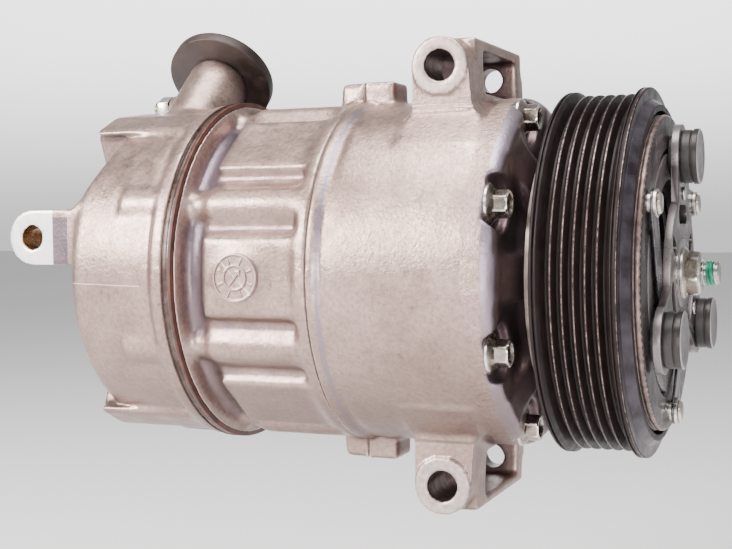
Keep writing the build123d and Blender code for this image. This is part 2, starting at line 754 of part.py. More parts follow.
with BuildPart() as front_thrust_bearing:
    thrust_rear_x = chamber_front_x - thrust_bearing_thickness
    ring(thrust_rear_x, thrust_rear_x + 0.8, 12.0, 22.0)
    ring(chamber_front_x - 0.8, chamber_front_x, 12.0, 22.0)
    ring(thrust_rear_x + 0.5, chamber_front_x - 0.5, 12.0, 13.0)
    for index in range(18):
        angle = radians(index * 20.0)
        radial = (0, cos(angle), sin(angle))
        middle_x = chamber_front_x - thrust_bearing_thickness / 2
        roller = Plane(origin=along((middle_x, 0, 0), radial, 14.0), z_dir=radial)
        rod(roller, 0.85, 6.5)
finish(front_thrust_bearing, "front_thrust_bearing")

with BuildPart() as rear_thrust_washer:
    ring(block_core_front_x - 24.0, block_core_front_x - 21.5, 0, shaft_radius + 1.0)
finish(rear_thrust_washer, "rear_thrust_washer")

with BuildPart() as drive_shaft:
    turned(
        [
            (shaft_rear_x, 0),
            (shaft_rear_x, shaft_radius - 1.0),
            (shaft_rear_x + 1.0, shaft_radius),
            (spline_start_x, shaft_radius),
            (spline_start_x, spline_radius),
            (hub_plate_x - 0.4, spline_radius),
            (hub_plate_x - 0.4, thread_radius),
            (shaft_tip_x - 1.0, thread_radius),
            (shaft_tip_x, thread_radius - 0.8),
            (shaft_tip_x, 0),
        ]
    )
    # thread form beyond the nut
    thread_start_x = nut_x + nut_height + 0.6
    for index in range(4):
        root = thread_start_x + index * 1.25
        turned(
            [(root - 0.5, thread_radius + 0.1), (root, thread_radius - 0.6), (root + 0.5, thread_radius + 0.1)],
            mode=Mode.SUBTRACT,
        )
finish(drive_shaft, "drive_shaft")

with BuildPart() as shaft_lip_seal:
    seal_rear_x = nose_front_x - 30.4
    turned(
        [
            (seal_rear_x, nose_seal_bore - 0.1),
            (seal_rear_x + 10.0, nose_seal_bore - 0.1),
            (seal_rear_x + 10.0, nose_seal_bore - 1.6),
            (seal_rear_x + 2.0, nose_seal_bore - 1.6),
            (seal_rear_x + 2.0, shaft_radius + 1.6),
            (seal_rear_x + 6.0, shaft_radius + 0.3),
            (seal_rear_x + 5.0, shaft_radius + 0.3),
            (seal_rear_x, shaft_radius + 1.0),
        ]
    )
finish(shaft_lip_seal, "shaft_lip_seal")

with BuildPart() as seal_retaining_ring:
    ring(seal_rear_x + 10.2, seal_rear_x + 11.4, nose_seal_bore - 2.4, nose_seal_bore + 0.8)
    with BuildSketch(Plane.YZ.offset(seal_rear_x + 10.2)):
        with Locations((nose_seal_bore, 0)):
            Rectangle(8.0, 5.0)
    extrude(amount=1.2, mode=Mode.SUBTRACT)
finish(seal_retaining_ring, "seal_retaining_ring")

# ---------------------------------------------------------------- tilting swash drive
lug_front_x = chamber_front_x - thrust_bearing_thickness - 0.3
lug_rear_x = lug_front_x - lug_plate_thickness
with BuildPart() as lug_plate:
    ring(lug_rear_x, lug_front_x, 0, lug_plate_radius)
    ring(lug_rear_x - 1.0, lug_rear_x, 0, 16.0)
    for sign in (1, -1):
        with BuildSketch(Plane.YZ.offset(lug_rear_x - lug_arm_length)):
            with Locations(((lug_arm_inner + lug_arm_outer) / 2, sign * 9.0)):
                Rectangle(lug_arm_outer - lug_arm_inner, 7.0)
        extrude(amount=lug_arm_length)
    # counterweight and relief on the opposite side
    with BuildSketch(Plane.YZ.offset(lug_rear_x)):
        with Locations((-28.0, 0)):
            Rectangle(10.0, 26.0)
    extrude(amount=2.0, mode=Mode.SUBTRACT)
    for sign in (1, -1):
        pin_plane = Plane(
            origin=(lug_rear_x - 7.0, (lug_arm_inner + lug_arm_outer) / 2, sign * 4.0), z_dir=(0, 0, sign)
        )
        rod(pin_plane, 2.6, 9.5, mode=Mode.SUBTRACT)
    ring(lug_rear_x - 1.0, lug_front_x, 0, shaft_radius + 0.1, mode=Mode.SUBTRACT)
finish(lug_plate, "lug_plate")

with BuildPart() as guide_pins:
    for sign in (1, -1):
        pin_plane = Plane(
            origin=(lug_rear_x - 7.0, (lug_arm_inner + lug_arm_outer) / 2, sign * 3.2), z_dir=(0, 0, sign)
        )
        rod(pin_plane, 2.5, 10.4)
        with Locations(pin_plane):
            Sphere(3.1)
finish(guide_pins, "guide_pins")

with BuildPart() as swash_sleeve:
    with Locations((swash_x, 0, 0)):
        Sphere(sleeve_sphere_radius)
    for sign in (1, -1):
        edge = swash_x + sign * sleeve_half_length
        ring(min(edge, edge + sign * 6.0), max(edge, edge + sign * 6.0), 0, 20.0, mode=Mode.SUBTRACT)
    ring(swash_x - 20.0, swash_x + 20.0, 0, shaft_radius + 0.1, mode=Mode.SUBTRACT)
finish(swash_sleeve, "swash_sleeve")

spring_radius = shaft_radius + 1.9
spring_wire = 0.9
spring_front_x = lug_rear_x - 1.0 - spring_wire - 0.1
spring_rear_x = swash_x + sleeve_half_length + spring_wire + 0.1
with BuildPart() as return_spring:
    turns = 4
    spring_run = spring_front_x - spring_rear_x
    coil = Helix(
        pitch=spring_run / turns,
        height=spring_run,
        radius=spring_radius,
        center=(spring_rear_x, 0, 0),
        direction=(1, 0, 0),
    )
    with BuildSketch(Plane(origin=coil @ 0, z_dir=coil % 0)) as wire:
        Circle(spring_wire)
    sweep(wire.sketch, path=coil, is_frenet=True)
finish(return_spring, "return_spring")

with BuildPart() as swash_plate:
    turned(
        [
            (swash_x - swash_half_thickness, 0),
            (swash_x - swash_half_thickness, swash_radius - 0.6),
            (swash_x - swash_half_thickness + 0.6, swash_radius),
            (swash_x + swash_half_thickness - 0.6, swash_radius),
            (swash_x + swash_half_thickness, swash_radius - 0.6),
            (swash_x + swash_half_thickness, 0),
        ]
    )
    ring(swash_x - swash_hub_half, swash_x + swash_hub_half, 0, swash_hub_radius)
    with Locations((swash_x, 0, 0)):
        Sphere(sleeve_sphere_radius + 0.3, mode=Mode.SUBTRACT)
finish(swash_plate, "swash_plate")


def ball_caps(centre, radius, flat, mode=Mode.ADD):
    """Two facing caps of a ball, cut off square to the shaft at a distance from its centre."""
    for side in (1, -1):
        edge = sqrt(radius**2 - flat**2)
        middle = radians(degrees(asin(edge / radius)) / 2)
        with BuildSketch(Plane(origin=centre, x_dir=(1, 0, 0), z_dir=(0, 0, 1))) as profile:
            with BuildLine():
                Line((side * flat, 0), (side * flat, edge))
                ThreePointArc(
                    (side * flat, edge), (side * radius * cos(middle), radius * sin(middle)), (side * radius, 0)
                )
                Line((side * radius, 0), (side * flat, 0))
            make_face()
        revolve(profile.sketch, axis=Axis(centre, (1, 0, 0)), mode=mode)


with BuildPart() as piston_shoes:
    for index in range(cylinder_count):
        angle = radians(180.0 + index * 2 * half_pitch)
        centre = (swash_x, cylinder_circle * cos(angle), cylinder_circle * sin(angle))
        ball_caps(centre, shoe_radius, swash_half_thickness + 0.02)
finish(piston_shoes, "piston_shoes")

# ---------------------------------------------------------------- pistons
jaw_front_x = swash_x + jaw_half_gap + jaw_thickness
tilt_shrink = cylinder_circle * (1 - cos(radians(max_tilt)))


def piston(index):
    """One single-headed piston with its jaw astride the rim of the swash plate."""
    angle = radians(180.0 + index * 2 * half_pitch)
    radial = (0, cos(angle), sin(angle))
    skirt_x = crown_x + piston_guide_length

    def frame(x):
        return Plane(origin=(x, 0, 0), x_dir=radial, z_dir=(1, 0, 0))

    with BuildSketch(frame(crown_x)) as head:
        with Locations((cylinder_circle, 0)):
            Circle(piston_radius)
    extrude(head.sketch, amount=piston_guide_length)
    with BuildSketch(frame(skirt_x)) as jaw:
        with Locations((cylinder_circle, 0)):
            Circle(piston_radius)
        with Locations(((jaw_inner_radius + 60.0) / 2, 0)):
            Rectangle(60.0 - jaw_inner_radius, 2 * jaw_half_width, mode=Mode.INTERSECT)
    extrude(jaw.sketch, amount=jaw_front_x - skirt_x)
    with BuildSketch(frame(swash_x - jaw_half_gap)) as gap:
        with Locations((bridge_inner_radius - 15.0, 0)):
            Rectangle(30.0, 4 * jaw_half_width)
    extrude(gap.sketch, amount=2 * jaw_half_gap, mode=Mode.SUBTRACT)
    # spherical sockets, wide enough for the path of the shoes as the plate tilts
    drift = tilt_shrink * cos(angle) / 2
    centre = (swash_x, cylinder_circle * cos(angle) - drift, cylinder_circle * sin(angle))
    cap_edge = sqrt(shoe_radius**2 - jaw_half_gap**2) + abs(drift)
    socket_radius = sqrt(jaw_half_gap**2 + cap_edge**2) + socket_gap
    ball_caps(centre, socket_radius, jaw_half_gap - 0.4, mode=Mode.SUBTRACT)
    # ring groove near the crown
    with BuildSketch(frame(crown_x + 3.0)) as groove:
        with Locations((cylinder_circle, 0)):
            Circle(piston_radius + 1.0)
            Circle(piston_radius - 0.6, mode=Mode.SUBTRACT)
    extrude(groove.sketch, amount=2.0, mode=Mode.SUBTRACT)


for index in range(cylinder_count):
    with BuildPart() as piston_body:
        piston(index)
    finish(piston_body, f"piston_{index + 1}")

# ---------------------------------------------------------------- valves and port caps of the rear head
with BuildPart() as control_valve:
    valve_x = drum_rear_x + control_valve_depth - 1.0
    body_plane = Plane(origin=(valve_x, control_y, control_z), z_dir=(-1, 0, 0))
    rod(body_plane, control_valve_radius - 1.4, control_valve_depth - 2.0)
    for start in (0.0, 8.0, 16.0, 22.0):
        land = Plane(origin=(valve_x - start, control_y, control_z), z_dir=(-1, 0, 0))
        rod(land, control_valve_radius, 5.0 if start < 20 else 6.0)
finish(control_valve, "control_valve")

with BuildPart() as control_valve_o_rings:
    for start in (5.1, 13.1):
        seat = Plane(origin=(valve_x - start, control_y, control_z), z_dir=(-1, 0, 0))
        rod(seat, control_valve_radius, 2.8)
        rod(seat, control_valve_radius - 1.3, 2.8, mode=Mode.SUBTRACT)
finish(control_valve_o_rings, "control_valve_o_rings")

with BuildPart() as control_valve_ring:
    clip = Plane(origin=(drum_rear_x + 3.6, control_y, control_z), z_dir=(-1, 0, 0))
    rod(clip, control_valve_radius, 1.2)
    rod(clip, control_valve_radius - 1.3, 1.2, mode=Mode.SUBTRACT)
finish(control_valve_ring, "control_valve_ring")

with BuildPart() as relief_valve:
    hex_plane = Plane(origin=(relief_x, relief_valve_y, relief_valve_z), z_dir=(-1, 0, 0))
    with BuildSketch(hex_plane):
        RegularPolygon(relief_hex_flats / 2, 6, major_radius=False)
    extrude(amount=4.5)
    rod(hex_plane, 3.4, 6.5)
    rod(Plane(origin=(relief_x + 5.0, relief_valve_y, relief_valve_z), z_dir=(-1, 0, 0)), 3.4, 5.2)
finish(relief_valve, "relief_valve")


def port_cap(seat, direction, bore):
    """Dust cap of a port: a round dished disc with a plug."""
    disc = Plane(origin=seat, z_dir=direction)
    rod(disc, port_cap_radius, port_cap_thickness + port_cap_lip)
    dish = Plane(origin=along(seat, direction, port_cap_thickness), z_dir=direction)
    rod(dish, port_cap_radius - port_cap_lip_width, port_cap_lip + 1.0, mode=Mode.SUBTRACT)
    plug = Plane(origin=seat, z_dir=tuple(-c for c in direction))
    rod(plug, bore - 0.1, port_plug_length)


with BuildPart() as suction_port_cap:
    port_cap(port_seat, port_direction, port_bore_radius)
finish(suction_port_cap, "suction_port_cap")

with BuildPart() as discharge_port_cap:
    port_cap(second_seat, second_direction, second_bore_radius)
finish(discharge_port_cap, "discharge_port_cap")

# ---------------------------------------------------------------- pulley bearing
bearing_rear_x = bearing_centre_x - bearing_width / 2
ball_circle = (bearing_bore + bearing_outer) / 4
inner_land = nose_radius + 3.0
outer_land = bearing_outer / 2 - 3.0


def ball_track(radius):
    """Toroidal ball track."""
    with BuildSketch(Plane.XY) as section:
        with Locations((bearing_centre_x, ball_circle)):
            Circle(radius)
    revolve(section.sketch, axis=Axis.X, mode=Mode.SUBTRACT)


with BuildPart() as bearing_inner_ring:
    ring(bearing_rear_x, bearing_front_x, nose_radius + 0.1, inner_land)
    ball_track(ball_radius + 0.35)
finish(bearing_inner_ring, "bearing_inner_ring")

with BuildPart() as bearing_outer_ring:
    ring(bearing_rear_x, bearing_front_x, outer_land, bearing_outer / 2 - 0.1)
    ball_track(ball_radius + 0.1)
finish(bearing_outer_ring, "bearing_outer_ring")

with BuildPart() as bearing_balls:
    for index in range(ball_count):
        angle = radians(index * 360.0 / ball_count)
        with Locations((bearing_centre_x, ball_circle * cos(angle), ball_circle * sin(angle))):
            Sphere(ball_radius)
finish(bearing_balls, "bearing_balls")

with BuildPart() as bearing_seals:
    ring(bearing_rear_x + 0.5, bearing_rear_x + 1.7, inner_land + 0.4, outer_land - 0.1)
    ring(bearing_front_x - 1.7, bearing_front_x - 0.5, inner_land + 0.4, outer_land - 0.1)
finish(bearing_seals, "bearing_seals")

with BuildPart() as bearing_snap_ring:
    ring(bearing_front_x + 0.1, bearing_front_x + 1.3, nose_radius - 0.8, nose_radius + 2.0)
    with BuildSketch(Plane.YZ.offset(bearing_front_x)):
        with Locations((nose_radius, 0)):
            Rectangle(8.0, 5.0)
    extrude(amount=1.4, mode=Mode.SUBTRACT)
finish(bearing_snap_ring, "bearing_snap_ring")

# ---------------------------------------------------------------- field coil
coil_flange_rear_x = nose_root_x
coil_flange_front_x = coil_flange_rear_x + coil_flange_thickness
coil_front_x = coil_flange_front_x + coil_length
coil_bore = nose_radius + 2.6
with BuildPart() as coil_shell:
    ring(coil_flange_rear_x, coil_flange_front_x, coil_bore + 0.2, coil_flange_radius)
    ring(coil_flange_front_x, coil_flange_front_x + coil_shell_wall, coil_inner_radius, coil_outer_radius)
    ring(coil_flange_front_x, coil_front_x, coil_outer_radius - coil_shell_wall, coil_outer_radius)
    ring(coil_flange_front_x, coil_front_x, coil_inner_radius, coil_inner_radius + coil_shell_wall)
    holes(coil_flange_rear_x, coil_flange_front_x, 27.0, 2.0, 4, start=45.0)
finish(coil_shell, "coil_shell")

with BuildPart() as coil_winding:
    winding_rear_x = coil_flange_front_x + coil_shell_wall
    ring(
        winding_rear_x,
        coil_front_x - 1.0,
        coil_inner_radius + coil_shell_wall + 0.1,
        coil_outer_radius - coil_shell_wall - 0.1,
    )
finish(coil_winding, "coil_winding")

with BuildPart() as coil_snap_ring:
    ring(coil_flange_front_x + 0.05, coil_flange_front_x + 1.25, coil_bore - 0.8, coil_bore + 2.2)
    with BuildSketch(Plane.YZ.offset(coil_flange_front_x)):
        with Locations((coil_bore, 0)):
            Rectangle(8.0, 6.0)
    extrude(amount=1.4, mode=Mode.SUBTRACT)
finish(coil_snap_ring, "coil_snap_ring")

with BuildPart() as coil_terminal:
    with BuildSketch(Plane.YZ.offset(coil_flange_front_x)):
        with Locations((coil_outer_radius + 6.2, 0)):
            Rectangle(12.0, 12.0)
    extrude(amount=1.9)
    with BuildSketch(Plane.YZ.offset(coil_flange_rear_x - 1.0)):
        with Locations((coil_flange_radius + 6.6, 0)):
            Rectangle(13.0, 9.0)
    extrude(amount=coil_flange_thickness + 1.0)
finish(coil_terminal, "coil_terminal")

# ---------------------------------------------------------------- belt pulley
rim_root = rib_radius - groove_depth
rear_flange_radius = flange_radius - 0.7
groove_top = (groove_pitch - groove_tip_width) / 2
groove_bottom = groove_top - groove_depth * tan(radians(groove_angle / 2))


def rim_profile():
    """Outline of the rim from the rear edge to the front, over the belt grooves."""
    rear = -pulley_half
    points = [(rear, rim_root - 4.0), (rear, rear_flange_radius - 0.6), (rear + 0.6, rear_flange_radius)]
    points += [(rear + 1.1, rear_flange_radius), (rear + 1.2, rear_flange_radius - 1.0)]
    points += [(rear + 1.6, rear_flange_radius - 1.0), (rear + 1.7, rear_flange_radius)]
    points += [(rear + 2.3, rear_flange_radius)]
    for index in range(groove_count):
        centre = -groove_half + groove_pitch * (index + 0.5)
        points.append((centre - groove_top, rib_radius))
        points.append((centre - groove_bottom, rim_root))
        points.append((centre + groove_bottom, rim_root))
        points.append((centre + groove_top, rib_radius))
    front = pulley_half
    points += [(front - 2.3, flange_radius), (front - 1.9, flange_radius), (front - 1.8, flange_radius - 0.6)]
    points += [(front - 1.5, flange_radius - 0.6), (front - 1.4, flange_radius), (front - 0.3, flange_radius)]
    points += [(front, flange_radius - 0.5), (front, rim_root - 4.0)]
    return points


with BuildPart() as clutch_pulley:
    turned(rim_profile())
    ring(-pulley_half, friction_face_x, coil_cavity_outer, rim_root - 3.0)
    ring(friction_face_x - rotor_web, friction_face_x, rotor_hub_radius - 1.0, coil_cavity_outer + 1.0)
    ring(bearing_rear_x - 1.0, friction_face_x, bearing_outer / 2, rotor_hub_radius)
    turned(
        [
            (friction_face_x - 1.0, armature_radius + 1.3),
            (friction_face_x + friction_ring_height, armature_radius + 1.3),
            (friction_face_x + friction_ring_height, armature_radius + 3.3),
            (friction_face_x + 0.2, armature_radius + 5.4),
            (friction_face_x - 1.0, armature_radius + 5.4),
        ]
    )
    # curved slots that steer the magnetic flux through the friction face
    for inner, start in ((36.6, 0.0), (43.6, 30.0)):
        with BuildSketch(Plane.YZ.offset(friction_face_x - rotor_web - 1.0)):
            Circle(inner + 1.8)
            Circle(inner, mode=Mode.SUBTRACT)
            with PolarLocations(inner + 0.9, 3, start_angle=start):
                Rectangle(6.0, 7.0, mode=Mode.SUBTRACT)
        extrude(amount=rotor_web + 2.0, mode=Mode.SUBTRACT)
    # lip that stops the bearing
    ring(bearing_rear_x - 1.0, bearing_rear_x, outer_land + 1.5, bearing_outer / 2 + 1.0)
finish(clutch_pulley, "clutch_pulley")

# ---------------------------------------------------------------- hub, armature and dampers
lobe_angles = [lobe_start + index * 360.0 / lobe_count for index in range(lobe_count)]
rivet_angles = [rivet_start + index * 360.0 / lobe_count for index in range(lobe_count)]
hub_rivet_circle = 26.6
leaf_x = hub_plate_x - leaf_thickness
plate_core_radius = 25.6


def face_point(radius, angle):
    """Point in the plane of a disc; angles run from the mounting side towards the top."""
    return (-radius * cos(radians(angle)), radius * sin(radians(angle)))


with BuildPart() as armature_plate:
    turned(
        [
            (armature_rear_x, 31.0),
            (armature_rear_x, armature_radius - 0.5),
            (armature_rear_x + 0.5, armature_radius),
            (armature_rear_x + 1.9, armature_radius),
            (armature_rear_x + 2.1, armature_radius - 0.8),
            (armature_rear_x + 2.7, armature_radius - 0.8),
            (armature_rear_x + 2.9, armature_radius),
            (armature_front_x - 0.8, armature_radius),
            (armature_front_x, armature_radius - 0.8),
            (armature_front_x, 31.0),
        ]
    )
    # flux slots
    with BuildSketch(Plane.YZ.offset(armature_rear_x)):
        Circle(41.6)
        Circle(39.8, mode=Mode.SUBTRACT)
        with PolarLocations(40.7, 3, start_angle=30.0):
            Rectangle(6.0, 14.0, mode=Mode.SUBTRACT)
    extrude(amount=armature_thickness, mode=Mode.SUBTRACT)
finish(armature_plate, "armature_plate")

with BuildPart() as armature_rivets:
    for angle in rivet_angles:
        with BuildSketch(Plane.YZ.offset(armature_front_x)):
            with Locations(face_point(rivet_circle, angle)):
                Circle(3.4)
        extrude(amount=leaf_x - armature_front_x)
        with BuildSketch(Plane.YZ.offset(leaf_x)):
            with Locations(face_point(rivet_circle, angle)):
                Circle(2.4)
        extrude(amount=leaf_thickness)
        with BuildSketch(Plane.YZ.offset(hub_plate_x)):
            with Locations(face_point(rivet_circle, angle)):
                Circle(rivet_head_radius)
        extrude(amount=rivet_head_height, taper=14.0)
finish(armature_rivets, "armature_rivets")

with BuildPart() as leaf_springs:
    for angle in rivet_angles:
        outer = face_point(rivet_circle, angle)
        inner = face_point(hub_rivet_circle, angle - 60.0)
        run = (inner[0] - outer[0], inner[1] - outer[1])
        length = sqrt(run[0] ** 2 + run[1] ** 2)
        strip = Plane(
            origin=(leaf_x, (inner[0] + outer[0]) / 2, (inner[1] + outer[1]) / 2),
            x_dir=(0, run[0] / length, run[1] / length),
            z_dir=(1, 0, 0),
        )
        with BuildSketch(strip):
            SlotCenterToCenter(length, leaf_width)
            with Locations((-length / 2, 0)):
                Circle(2.5, mode=Mode.SUBTRACT)
            with Locations((length / 2, 0)):
                Circle(1.6, mode=Mode.SUBTRACT)
        extrude(amount=leaf_thickness)
finish(leaf_springs, "leaf_springs")

with BuildPart() as hub_plate:
    with BuildSketch(Plane.YZ.offset(hub_plate_x)):
        Circle(plate_core_radius)
        for angle in lobe_angles:
            with Locations(face_point(damper_circle, angle)):
                Circle(damper_lobe_radius)
        with PolarLocations(damper_circle / 2, lobe_count, start_angle=lobe_start):
            Rectangle(damper_circle, 2 * damper_lobe_radius - 1.6)
        Circle(hub_sleeve_radius + 0.1, mode=Mode.SUBTRACT)
        for angle in lobe_angles:
            with Locations(face_point(damper_circle, angle)):
                Circle(damper_radius - 2.6, mode=Mode.SUBTRACT)
            with Locations(face_point(hub_rivet_circle, angle)):
                Circle(1.6, mode=Mode.SUBTRACT)
        with PolarLocations(19.6, lobe_count, start_angle=lobe_start):
            SlotOverall(17.0, 6.4, rotation=90.0, mode=Mode.SUBTRACT)
        with PolarLocations(19.2, lobe_count, start_angle=lobe_start + 60.0):
            SlotOverall(9.0, 5.0, rotation=0.0, mode=Mode.SUBTRACT)
    extrude(amount=hub_plate_thickness)
finish(hub_plate, "hub_plate")

with BuildPart() as hub_rivets:
    for angle in lobe_angles:
        with BuildSketch(Plane.YZ.offset(leaf_x - 0.7)):
            with Locations(face_point(hub_rivet_circle, angle)):
                Circle(2.3)
        extrude(amount=0.7)
        with BuildSketch(Plane.YZ.offset(leaf_x)):
            with Locations(face_point(hub_rivet_circle, angle)):
                Circle(1.5)
        extrude(amount=leaf_thickness + hub_plate_thickness)
        with BuildSketch(Plane.YZ.offset(hub_plate_front_x)):
            with Locations(face_point(hub_rivet_circle, angle)):
                Circle(2.2)
        extrude(amount=0.8)
finish(hub_rivets, "hub_rivets")

with BuildPart() as clutch_hub:
    shim_front_x = spline_start_x + shim_thickness
    ring(shim_front_x, hub_plate_front_x, spline_radius + 0.1, hub_sleeve_radius)
    ring(hub_plate_x - 1.6, hub_plate_x, spline_radius + 0.1, hub_sleeve_radius + 3.6)
    ring(hub_plate_x - 0.4, hub_plate_front_x, thread_radius + 0.1, hub_sleeve_radius - 1.0)
finish(clutch_hub, "clutch_hub")

with BuildPart() as hub_shim:
    ring(spline_start_x, shim_front_x, spline_radius + 0.1, hub_sleeve_radius - 1.0)
finish(hub_shim, "hub_shim")

with BuildPart() as dampers:
    damper_rear_x = armature_front_x + 0.35
    for angle in lobe_angles:
        centre = face_point(damper_circle, angle)
        for x0, x1, radius in (
            (damper_rear_x, hub_plate_x, damper_radius - 1.7),
            (hub_plate_x, hub_plate_front_x, damper_radius - 2.7),
            (hub_plate_front_x, damper_cap_x, damper_radius),
        ):
            with BuildSketch(Plane.YZ.offset(x0)):
                with Locations(centre):
                    Circle(radius)
            extrude(amount=x1 - x0)
        with BuildSketch(Plane.YZ.offset(damper_rear_x)):
            with Locations(centre):
                Circle(3.1)
        extrude(amount=damper_cap_x - damper_rear_x, mode=Mode.SUBTRACT)
finish(dampers, "dampers")

with BuildPart() as damper_caps:
    for angle in lobe_angles:
        centre = face_point(damper_circle, angle)
        with BuildSketch(Plane.YZ.offset(damper_cap_x)):
            with Locations(centre):
                Circle(damper_cap_radius)
        extrude(amount=damper_cap_thickness - 0.5)
        with BuildSketch(Plane.YZ.offset(damper_cap_x + damper_cap_thickness - 0.5)):
            with Locations(centre):
                Circle(damper_cap_radius)
        extrude(amount=0.5, taper=45.0)
        with BuildSketch(Plane.YZ.offset(damper_rear_x)):
            with Locations(centre):
                Circle(3.0)
        extrude(amount=damper_cap_x - damper_rear_x)
finish(damper_caps, "damper_caps")

with BuildPart() as hub_nut:
    ring(nut_x, nut_x + nut_flange_height, 0, nut_flange_radius)
    with BuildSketch(Plane.YZ.offset(nut_x + nut_flange_height)):
        RegularPolygon(nut_flats / 2, 6, major_radius=False)
    extrude(amount=nut_height - nut_flange_height)
    nut_front_x = nut_x + nut_height
    crown_radius = nut_flats / 2
    turned(
        [
            (nut_front_x - 1.0, crown_radius * 1.17),
            (nut_front_x, crown_radius * 0.96),
            (nut_front_x + 1.0, crown_radius * 0.96),
            (nut_front_x + 1.0, crown_radius * 1.3),
            (nut_front_x - 1.0, crown_radius * 1.3),
        ],
        mode=Mode.SUBTRACT,
    )
    ring(nut_x, nut_front_x, 0, thread_radius + 0.1, mode=Mode.SUBTRACT)
finish(hub_nut, "hub_nut")
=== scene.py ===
import json
from math import cos, degrees, hypot, pi, radians, sin, tan

import bmesh
import bpy
import numpy as np
from bpy.props import FloatProperty, FloatVectorProperty, IntProperty, PointerProperty
from mathutils import Matrix, Vector, noise


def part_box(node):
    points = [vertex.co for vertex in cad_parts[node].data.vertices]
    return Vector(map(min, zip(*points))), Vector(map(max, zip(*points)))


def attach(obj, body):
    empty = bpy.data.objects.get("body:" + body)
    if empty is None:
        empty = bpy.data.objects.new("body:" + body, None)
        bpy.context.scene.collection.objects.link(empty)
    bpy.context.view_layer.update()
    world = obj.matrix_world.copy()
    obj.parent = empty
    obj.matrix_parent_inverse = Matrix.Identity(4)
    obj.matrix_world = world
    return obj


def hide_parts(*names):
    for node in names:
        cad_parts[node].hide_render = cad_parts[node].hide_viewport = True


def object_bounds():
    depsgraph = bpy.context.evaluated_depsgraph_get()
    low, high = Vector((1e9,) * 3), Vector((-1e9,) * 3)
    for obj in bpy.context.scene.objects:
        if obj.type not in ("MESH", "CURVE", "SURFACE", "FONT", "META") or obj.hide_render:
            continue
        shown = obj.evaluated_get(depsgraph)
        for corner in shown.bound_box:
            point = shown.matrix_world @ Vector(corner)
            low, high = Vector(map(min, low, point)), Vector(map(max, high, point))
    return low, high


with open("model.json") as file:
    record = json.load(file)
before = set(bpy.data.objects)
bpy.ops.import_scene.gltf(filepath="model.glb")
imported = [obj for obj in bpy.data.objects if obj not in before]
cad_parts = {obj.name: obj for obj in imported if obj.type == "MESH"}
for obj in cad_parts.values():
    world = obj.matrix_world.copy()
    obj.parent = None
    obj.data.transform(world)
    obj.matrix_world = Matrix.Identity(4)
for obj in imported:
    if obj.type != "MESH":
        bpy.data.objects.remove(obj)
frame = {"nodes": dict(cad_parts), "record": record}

bl_info = {
    "name": "Air-conditioning compressor finish",
    "version": (1, 0, 0),
    "blender": (4, 5, 0),
    "location": "3D View > Sidebar > Compressor",
    "description": "Shown pieces and finishes of a belt-driven clutch compressor, round its CAD frame",
    "category": "Object",
}

NODES = frame["nodes"]
CAD_LOW, CAD_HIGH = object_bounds()
MM = 0.001
CYLINDERS = 7
BOLT_CIRCLE = 54.0
DAMPER_CIRCLE = 38.7
RIVET_CIRCLE = 46.3
LOBE_ANGLES = (90.0, 210.0, 330.0)
RIVET_ANGLES = (30.0, 150.0, 270.0)
LUG_RADIUS = 9.9
LUG_FROM_JOINT = 36.1
TAB_RADIUS = 9.9
TAB_Z = 13.4


def corners_of(node):
    """Lowest and highest corner of a CAD node, in millimetres."""
    low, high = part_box(node)
    return [c / MM for c in low], [c / MM for c in high]


# half of the grooved rim's width, since the grooves' middle plane is at zero; the lip stands 3 mm proud
HALF_RIM = corners_of("clutch_pulley")[1][0] - 3.0
PLATE_LOW, PLATE_HIGH = corners_of("hub_plate")
HOUSING_LOW, HOUSING_HIGH = corners_of("front_housing")
JOINT_X = HOUSING_LOW[0]
HEAD_LOW, HEAD_HIGH = corners_of("rear_head")
BOLT_LOW, BOLT_HIGH = corners_of("through_bolts")
NUT_LOW, NUT_HIGH = corners_of("hub_nut")
SHAFT_LOW, SHAFT_HIGH = corners_of("drive_shaft")
CAP_HIGH = corners_of("damper_caps")[1]
ARMATURE_HIGH = corners_of("armature_plate")[1]
RIVET_LOW, RIVET_HIGH = corners_of("armature_rivets")
LUG_X = JOINT_X + LUG_FROM_JOINT
LUG_HEIGHTS = (HOUSING_HIGH[2] - LUG_RADIUS, HOUSING_LOW[2] + LUG_RADIUS)
TAB_X = HEAD_LOW[0] + TAB_RADIUS


# ------------------------------------------------------------------ settings
class CastingSettings(bpy.types.PropertyGroup):
    """Grain and rounding of the aluminium castings."""

    voxel: FloatProperty(
        name="Skin grid", description="Spacing of the casting's surface mesh", default=0.0007,
        min=0.0003, unit="LENGTH",
    )
    rounds: IntProperty(
        name="Rounding passes", description="How far the cast edges and corners are rounded off",
        default=14, min=0,
    )
    block_rounds: IntProperty(
        name="Block rounding", description="Rounding passes of the cylinder block's ridges",
        default=46, min=0,
    )
    light_tone: FloatVectorProperty(
        name="Light tone", description="Brighter tone of the shot-blasted casting", subtype="COLOR",
        default=(0.60, 0.435, 0.385), min=0, max=1,
    )
    dark_tone: FloatVectorProperty(
        name="Dark tone", description="Duller tone of the casting", subtype="COLOR",
        default=(0.40, 0.282, 0.243), min=0, max=1,
    )
    # Violet-grey shade painted into the recesses of the castings, standing in for their shadow
    recess_painted_shade: FloatVectorProperty(
        name="Painted recess shade", description="Violet-grey shade painted into the recesses", subtype="COLOR",
        default=(0.135, 0.098, 0.108), min=0, max=1,
    )


